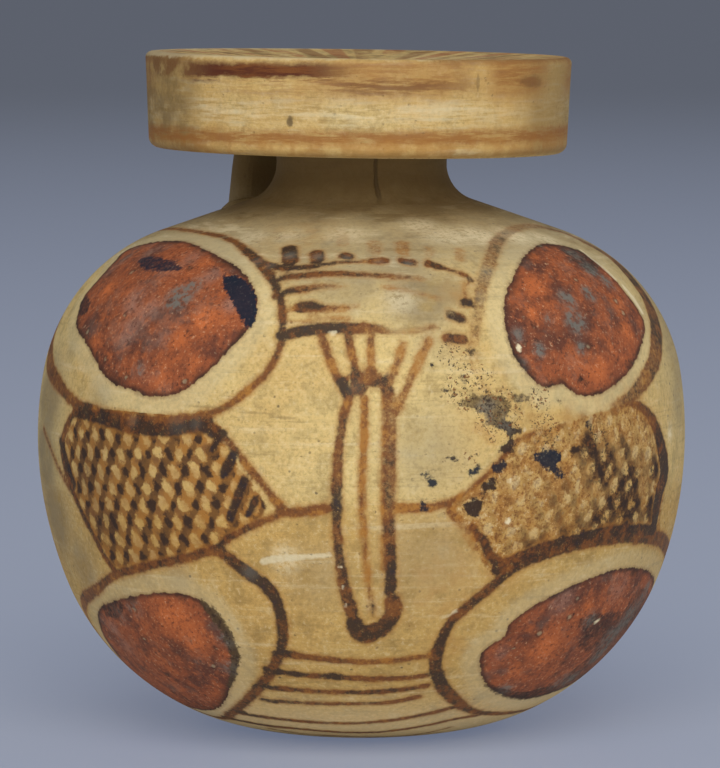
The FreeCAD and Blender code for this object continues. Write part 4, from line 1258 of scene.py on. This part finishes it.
def banded_clay(paints, foot):
    """The mouth disc: two worn bands on its edge, tongues on its top. Heights are above the disc's foot."""
    graph = Graph("disc_surface")
    place, tone, relief, mottle = bare_clay(graph, paints, paints.disc)
    across, back, up = graph.split(place)
    degrees = across.round_axis(back * -1.0)
    radius = (across * across + back * back).root()
    fray = graph.noise(graph.place((1, 1, 1.6)), 0.9, 5, 0.65)
    streak = graph.noise(graph.place((0.22, 0.22, 2.0)), 1.0, 5, 0.68)
    patchy = graph.noise(place, 0.14, 3, 0.6)
    blot = graph.noise(place, 0.5, 4, 0.6)
    above = up - foot / MM
    rise = above.ragged((0.9, fray))
    side = radius.fade(19.2, 19.8)
    from_view = degrees - VIEW_AZIMUTH
    seen = from_view.ragged((14, patchy))

    def between(first, last, soft=8.0):
        """1 between two angles round from the middle of the view."""
        return seen.fade(first - soft, first + soft) * seen.fade(last + soft, last - soft)

    narrow = rise.fade(6.9, 7.7) * rise.fade(9.2, 8.4)
    wide = rise.fade(4.2, 7.0) * rise.fade(9.3, 8.5)
    ragged = above.ragged((2.2, streak), (0.9, fray)).fade(7.0, 7.7) * rise.fade(9.2, 8.4)
    low_band = rise.fade(0.9, 1.6) * rise.fade(3.0, 2.0) * streak.fade(0.28, 0.56)
    dark_streak = rise.fade(5.6, 6.3) * rise.fade(7.6, 6.9) * streak.fade(0.36, 0.58)
    brushed = between(-14, 30, 9) + (1 - between(-75, 75)) * patchy.fade(0.4, 0.6)
    rows = [
        (patchy.fade(0.42, 0.62) * 0.35, paints.clay_warm),
        (rise.fade(4.0, 7.5) * 0.35, paints.clay_warm),
        (rise.fade(3.6, 0.5) * 0.45, paints.clay_warm),
        (rise.fade(2.5, 4.0) * rise.fade(6.2, 4.6) * streak.fade(0.4, 0.6) * 0.3, paints.cream_and_light),
        (streak.fade(0.52, 0.68) * 0.4, paints.pale_clay_and_highlight),
        (streak.fade(0.46, 0.30) * 0.35, paints.grime_and_shade),
        (between(36, 64, 14) * 0.45, paints.clay_warm),
        # Painted shade, partly grime: the edge darkens where it turns away to the left and right of the view.
        (between(-110, -50, 9) * blot.fade(0.30, 0.62) * 0.7, paints.grime_and_shade),
        (between(-110, -52) * 0.4 + between(50, 110) * 0.5, paints.grime_and_shade),
        (low_band * 0.85, paints.band),
        (rise.fade(2.4, 1.2) * (0.25 + 0.9 * blot.fade(0.40, 0.62)).least(1.0) * 0.5, paints.wash),
        (wide * brushed * (0.30 + 0.7 * streak.fade(0.32, 0.62)) * 0.72, paints.band),
        (wide * between(36, 58, 5) * (0.4 + 0.6 * streak.fade(0.32, 0.62)) * 0.8, paints.band),
        (narrow * between(-75, -46, 6) * blot.fade(0.40, 0.56) * 0.6, paints.brown),
        (ragged * between(-52, -6, 10) * (0.65 + 0.9 * streak).least(1.0), paints.maroon),
        (dark_streak * between(-8, 26, 9) * 0.5, paints.maroon),
        (wide * between(-40, -12) * streak.fade(0.42, 0.62) * 0.5, paints.band),
        (rise.fade(8.3, 8.9) * (between(18, 95) + between(-95, -52)) * 0.5, paints.brown),
    ]
    # Single marks: angle from the view, height, half their width in degrees, half their height, strength.
    marks = ((-19, 3.4, 1.1, 0.55, 0.7), (52, 6.9, 6.0, 0.7, 0.28), (32, 7.0, 0.6, 0.9, 0.35))
    for angle, height, half_wide, half_tall, strength in marks:
        off_side, off_up = (from_view - angle) / half_wide, (above - height) / half_tall
        mark = (off_side * off_side + off_up * off_up).ragged((2.4, fray)).fade(1.2, 0.3)
        rows.append((mark * strength, paints.dark))
    tone = graph.layers(tone, rows, within=side)

    # Tongues round the mouth, alternately brown and red.
    beat = degrees / 10.0 + 0.12 * fray
    tongue = ((beat + 0.5).part() - 0.5).size().fade(0.38, 0.26) * streak.fade(0.64, 0.44)
    turn_red = ((beat / 2 + 0.25).part() - 0.5).fade(-0.02, 0.02)
    on_top = rise.fade(6.6, 7.4) * (1 - side) * radius.fade(6.4, 7.0)
    tone = graph.layers(tone, (
        # Painted highlight, partly wear: a pale line along the top edge of the disc.
        (rise.fade(9.0, 9.3) * radius.fade(17.5, 19) * 0.5, paints.pale_clay_and_highlight),
        (side * rise.fade(0.9, 0.0) * 0.35, paints.grime_and_shade),
        (on_top * stain_of(graph, place) * 0.7, paints.grime_and_shade),
        (on_top * tongue * 0.6, graph.mix(turn_red, paints.brown, paints.red)),
        (radius.fade(6.4, 5.0) * rise.fade(6, 7) * 0.5, paints.grime_and_shade),
    ))
    return graph.finish(tone, 0.62 + 0.16 * mottle, relief + 0.05 * streak, depth=0.0009)


def plain_clay(paints):
    """The neck, the luting and the handle: bare clay, darker low down, dark brown under the disc as painted
    shade, with a crack in the neck.
    """
    graph = Graph("neck_surface")
    place, tone, relief, mottle = bare_clay(graph, paints, paints.clay)
    up = graph.split(place)[2]
    smear = graph.noise(graph.place((1, 1, 0.6)), 0.5, 5, 0.65)
    across, back, _ = graph.split(graph.shift(place, smear, 0.8))
    crack = (across.round_axis(back * -1.0) + 8.0).size().fade(2.0, 0.4) * (up - 51.0).fade(0.0, 1.0)
    tone = graph.layers(tone, (
        (0.40 + 0.3 * mottle, paints.dust_and_shade),
        # Painted shade: the neck and the handle turn dark brown towards the disc.
        ((up + 3 * smear).fade(50.5, 54.5) * 0.85, paints.neck),
        (smear.fade(0.5, 0.7) * 0.35, paints.grime_and_shade),
        ((up + smear).fade(53.8, 52.0) * 0.4, paints.grime_and_shade),
        (crack * 0.42, paints.dark),
    ))
    return graph.finish(tone, 0.7 + 0.12 * mottle, relief + 0.1 * smear - 0.2 * crack, depth=0.0008)


# Operators


def camera_place(studio):
    x, y = facing(studio.azimuth)
    return x * studio.distance, y * studio.distance, studio.height


def camera_turn(studio):
    return Euler((math.pi / 2 - studio.pitch, 0, studio.azimuth + studio.yaw))


def flask(context):
    return getattr(context.scene, PROPERTY)


def material(name, maker, *values):
    """The material of this name, made the first time that a piece asks for it."""
    return bpy.data.materials.get(name) or maker(*values)


class ARYBALLOS_OT_stage(bpy.types.Operator):
    """Sets the floor, the lights and the camera"""

    bl_idname = "aryballos.stage"
    bl_label = "Stage"

    def execute(self, context):
        studio = flask(context).studio
        self.add_floor(studio)
        # Each light's power, degrees round from the view, degrees up, and distance and size in metres.
        self.add_light("key_light", studio, studio.key, 3, 37, 0.9, 0.8)
        self.add_light("low_light", studio, studio.low, -15, 3, 0.9, 0.5)
        self.add_light("side_light", studio, studio.side, 115, 18, 0.8, 0.4)
        world = bpy.data.worlds.new("even_light")
        world.use_nodes = True
        background = world.node_tree.nodes["Background"]
        background.inputs["Color"].default_value = (1, 1, 1, 1)
        background.inputs["Strength"].default_value = studio.sky
        context.scene.world = world
        context.scene.view_settings.view_transform = "Standard"

        bpy.ops.object.camera_add(location=camera_place(studio), rotation=camera_turn(studio))
        camera = context.object
        camera.name = "camera"
        camera.data.sensor_width = SENSOR
        camera.data.lens = studio.lens
        context.scene.camera = camera
        return {"FINISHED"}

    def add_floor(self, studio):
        """A plain pale floor. A share of what the camera sees of it is an even glow, darker far away."""
        near, far, far_share, glow_share = 60, 2100, 0.38, 0.68
        deselect()
        bpy.ops.mesh.primitive_circle_add(vertices=96, radius=9.0, fill_type="NGON", location=(0, 0, 0))
        floor = bpy.context.object
        floor.name = "floor"
        graph = Graph("pale_floor")
        camera_sees = graph.node("ShaderNodeLightPath", out="Is Camera Ray")
        away = graph.node("ShaderNodeVectorMath", {"operation": "LENGTH"}, {0: graph.place()}, out="Value")
        glow = graph.mix(away.fade(near, far), studio.haze, tuple(far_share * part for part in studio.haze))
        matt = {"Base Color": (*studio.floor, 1.0), "Roughness": 0.5, "Specular IOR Level": 0.2}
        lit = graph.node("ShaderNodeBsdfPrincipled", None, matt)
        glowing = graph.node("ShaderNodeEmission", None, {"Color": glow, "Strength": 1.0})
        surface = graph.node("ShaderNodeMixShader", None, {0: camera_sees * glow_share, 1: lit, 2: glowing})
        graph.node("ShaderNodeOutputMaterial", None, {"Surface": surface})
        floor.data.materials.append(graph.material)

    def add_light(self, name, studio, power, round_from_view, above, distance, size):
        """A soft square light that looks at the middle of the flask."""
        above = math.radians(above)
        x, y = facing(studio.azimuth + math.radians(round_from_view))
        level = distance * math.cos(above)
        aim = Vector((0, 0, 0.032))
        place = aim + Vector((x * level, y * level, distance * math.sin(above)))
        look = (aim - place).to_track_quat("-Z", "Y").to_euler()
        deselect()
        bpy.ops.object.light_add(type="AREA", location=place, rotation=look)
        light = bpy.context.object
        light.name = name
        light.data.energy = power
        light.data.size = size


class ARYBALLOS_OT_globe(bpy.types.Operator):
    """Throws the hollow globe and paints its ornament"""

    bl_idname = "aryballos.globe"
    bl_label = "Painted Globe"

    # How far round the painted side goes, with fine corners, and in how many steps the rest turns.
    FRONT = math.radians(230)
    BACK_STEPS = 56

    def execute(self, context):
        sizes = flask(context)
        globe, neck, studio = sizes.globe, sizes.neck, sizes.studio
        fine, coarse = globe.grain, 3 * MM
        outside = wall_line(globe, neck, 0, 0, 1, fine)
        inside = wall_line(globe, neck, globe.wall, globe.floor, globe.ceiling_share, coarse)
        seat = seat_height(globe, neck)
        ball = (globe.dimple_radius**2 + globe.dimple_depth**2) / (2 * globe.dimple_depth)
        dimple_angle = math.asin(globe.dimple_radius / ball)
        section = chain(
            arc((0, globe.dimple_depth - ball), ball, math.pi / 2, math.pi / 2 - dimple_angle, MM),
            outside,
            [(collar_radius(globe, neck), seat), (neck.bore, seat)],
            straight(coarse, (neck.bore, seat), (neck.bore, inside[-1][1])),
            reversed(inside),
            straight(coarse, (globe.base_radius, globe.floor), (0, globe.floor)),
        )
        start = studio.azimuth - self.FRONT / 2
        steps = round(self.FRONT * globe.belly_radius / fine)
        back = (start + self.FRONT, 2 * math.pi - self.FRONT, self.BACK_STEPS)
        item = turned("globe", section, [(start, self.FRONT, steps), back])
        stray(item, amount=globe.wobble, size=24 * MM, seed=3, keep=self.away_from_ends)
        Ornament(item, Sight(studio, outside)).paint()
        finish_piece(item, "body", material("globe_surface", painted_clay, sizes.paints))
        return {"FINISHED"}

    def away_from_ends(self, places):
        """1 on the wall, and 0 at the foot and at the collar, where other pieces and the floor touch."""
        heights = places[:, 2] / MM
        return np.clip((49 - heights) / 4, 0, 1) * np.clip(heights / 2, 0, 1)


class ARYBALLOS_OT_neck(bpy.types.Operator):
    """Throws the neck and smooths luting round its foot"""

    bl_idname = "aryballos.neck"
    bl_label = "Neck and Luting"

    def execute(self, context):
        sizes = flask(context)
        globe, neck, disc = sizes.globe, sizes.neck, sizes.disc
        seat = seat_height(globe, neck)
        head = disc_foot(globe, neck) + disc.rise + neck.socket
        step = 0.4 * MM
        tube = straight(step, (neck.bore, seat), (neck.radius, seat), (neck.radius, head), (neck.bore, head),
                        (neck.bore, seat + step))
        clay = material("neck_surface", plain_clay, sizes.paints)
        item = turned("neck_tube", tube, full_turn(144), closed=True)
        stray(item, amount=0.06 * MM, size=7 * MM, seed=11)
        finish_piece(item, "neck", clay)

        slope = globe.shoulder_angle
        edge = collar_radius(globe, neck)
        sunk = neck.radius - 0.2 * MM
        centre = (neck.radius + neck.luting_round, globe.collar_height + neck.luting_round * math.cos(slope))
        seam = chain(
            [(sunk, seat), (edge, seat), (edge, globe.collar_height)],
            arc(centre, neck.luting_round, -math.pi / 2 - slope, -math.pi, step),
            [(sunk, centre[1])],
        )
        item = turned("neck_seam", seam, full_turn(144), closed=True)
        finish_piece(item, "neck_luting", clay)
        return {"FINISHED"}


class ARYBALLOS_OT_disc(bpy.types.Operator):
    """Throws the thick mouth disc and sets it a little askew"""

    bl_idname = "aryballos.disc"
    bl_label = "Mouth Disc"

    def execute(self, context):
        sizes = flask(context)
        globe, neck, disc, studio = sizes.globe, sizes.neck, sizes.disc, sizes.studio
        foot = disc_foot(globe, neck)
        low = disc.radius - disc.taper
        roof = foot + disc.rise + neck.socket
        top = foot + disc.height
        dish = top - disc.dish
        step = 0.5 * MM
        fine = 0.12 * MM
        low_centre = (low - disc.low_round, foot + disc.low_round)
        top_centre = (disc.radius - disc.top_round, top - disc.top_round)
        mouth_centre = (neck.bore + disc.mouth_round, dish - disc.mouth_round)
        section = chain(
            straight(step, (neck.bore, roof), (neck.radius, roof), (neck.radius, foot + disc.rise),
                     (low_centre[0], foot)),
            arc(low_centre, disc.low_round, -math.pi / 2, 0, fine),
            straight(step, (low, low_centre[1]), (disc.radius, top_centre[1])),
            arc(top_centre, disc.top_round, 0, math.pi / 2, fine),
            straight(step, (top_centre[0], top), (disc.radius - disc.lip, top), (mouth_centre[0], dish)),
            arc(mouth_centre, disc.mouth_round, math.pi / 2, math.pi, fine),
            straight(step, (neck.bore, mouth_centre[1]), (neck.bore, roof + step)),
        )
        item = turned("rim_disc", section, full_turn(288), closed=True)
        stray(item, amount=0.13 * MM, size=16 * MM, seed=7, keep=self.off_the_neck)
        x, y = facing(studio.azimuth)
        lift = Matrix.Translation((0, 0, foot))
        lean = lift @ Matrix.Rotation(-disc.tilt, 4, Vector((x, y, 0))) @ lift.inverted()
        item.data.transform(Matrix.Translation(disc.stray * Vector((y, -x, 0))) @ lean)
        clay = material("disc_surface", banded_clay, sizes.paints, foot)
        finish_piece(item, "mouth_disc", clay)
        return {"FINISHED"}

    def off_the_neck(self, places):
        return np.hypot(places[:, 0], places[:, 1]) > 10 * MM


class ARYBALLOS_OT_handle(bpy.types.Operator):
    """Pulls the strap handle and lutes its two ends"""

    bl_idname = "aryballos.handle"
    bl_label = "Strap Handle"

    def execute(self, context):
        sizes = flask(context)
        globe, neck, disc, strap = sizes.globe, sizes.neck, sizes.disc, sizes.strap
        underside = disc_foot(globe, neck)
        head = disc.radius - disc.taper - strap.setback - strap.head_thickness / 2
        foot = head + strap.splay
        foot_back = foot + strap.foot_thickness / 2
        fall = (foot_back - collar_radius(globe, neck)) * math.tan(globe.shoulder_angle)
        low = globe.collar_height - fall - strap.bury
        middle = (globe.collar_height + underside) / 2
        high = underside + disc.rise + strap.bury
        stations = [
            (foot, low, strap.foot_width, strap.foot_thickness),
            (head + strap.bow, middle, strap.waist_width, strap.waist_thickness),
            (head, high, strap.head_width, strap.head_thickness),
        ]
        clay = material("neck_surface", plain_clay, sizes.paints)
        finish_piece(self.pull_strap(stations, strap.corner), "handle", clay)
        for name, node in (("foot_seam", "handle_foot_luting"), ("head_seam", "handle_head_luting")):
            finish_piece(self.smear(name, node), node, clay)
        return {"FINISHED"}

    def pull_strap(self, stations, corner):
        """A flat section drawn up from station to station, its long edges rounded."""
        reach, height, width, thickness = stations[0]
        deselect()
        bpy.ops.mesh.primitive_plane_add(size=1, location=(0, 0, 0))
        item = bpy.context.object
        item.name = "strap_handle"
        edit(item)
        bpy.ops.transform.resize(value=(width, thickness, 1))
        bpy.ops.transform.translate(value=(0, reach, height))
        for before, after in zip(stations, stations[1:]):
            step = (0, after[0] - before[0], after[1] - before[1])
            bpy.ops.mesh.extrude_region_move(TRANSFORM_OT_translate={"value": step})
            bpy.ops.transform.resize(value=(after[2] / before[2], after[3] / before[3], 1),
                                     center_override=(0, after[0], after[1]))
        bpy.ops.mesh.select_all(action="SELECT")
        bpy.ops.mesh.normals_make_consistent(inside=False)
        bpy.ops.mesh.select_all(action="DESELECT")
        leave()
        for side in item.data.edges:
            first, second = (item.data.vertices[number] for number in side.vertices)
            if abs(first.co.z - second.co.z) > MM:
                side.select = first.select = second.select = True
        bpy.context.tool_settings.mesh_select_mode = (False, True, False)
        bpy.ops.object.mode_set(mode="EDIT")
        bpy.ops.mesh.bevel(offset=corner, segments=6, affect="EDGES")
        leave()
        bpy.context.tool_settings.mesh_select_mode = (True, False, False)
        edit(item)
        bpy.ops.mesh.subdivide(number_cuts=5)
        leave()
        stray(item, amount=0.12 * MM, size=9 * MM, seed=5)
        return item

    def smear(self, name, node):
        """The luting round one end of the strap, pressed soft: its frame shape merged and rounded."""
        item = bpy.data.objects.new(name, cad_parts[node].data.copy())
        bpy.context.collection.objects.link(item)
        merge_and_face_out(item, threshold=1e-6)
        apply_modifier(item, "REMESH", mode="VOXEL", voxel_size=0.16 * MM)
        apply_modifier(item, "SMOOTH", factor=0.5, iterations=3)
        return item


class ARYBALLOS_PT_panel(bpy.types.Panel):
    """Lists the pieces in the order in which they are made"""

    bl_idname = "ARYBALLOS_PT_panel"
    bl_label = "Aryballos"
    bl_space_type = "VIEW_3D"
    bl_region_type = "UI"
    bl_category = "Aryballos"

    def draw(self, context):
        for operator in OPERATORS:
            self.layout.operator(operator.bl_idname)


OPERATORS = (
    ARYBALLOS_OT_stage,
    ARYBALLOS_OT_globe,
    ARYBALLOS_OT_neck,
    ARYBALLOS_OT_disc,
    ARYBALLOS_OT_handle,
)
GROUPS = (GlobeSizes, NeckSizes, DiscSizes, StrapSizes, Paints, Studio, Flask)


def register():
    for kind in (*GROUPS, *OPERATORS, ARYBALLOS_PT_panel):
        bpy.utils.register_class(kind)
    settings = PointerProperty(type=Flask, name="Aryballos", description="All settings")
    setattr(bpy.types.Scene, PROPERTY, settings)


def unregister():
    delattr(bpy.types.Scene, PROPERTY)
    for kind in reversed((*GROUPS, *OPERATORS, ARYBALLOS_PT_panel)):
        bpy.utils.unregister_class(kind)


def main():
    register()
    bpy.ops.aryballos.stage()
    bpy.ops.aryballos.globe()
    bpy.ops.aryballos.neck()
    bpy.ops.aryballos.disc()
    bpy.ops.aryballos.handle()


if __name__ == "__main__":
    main()
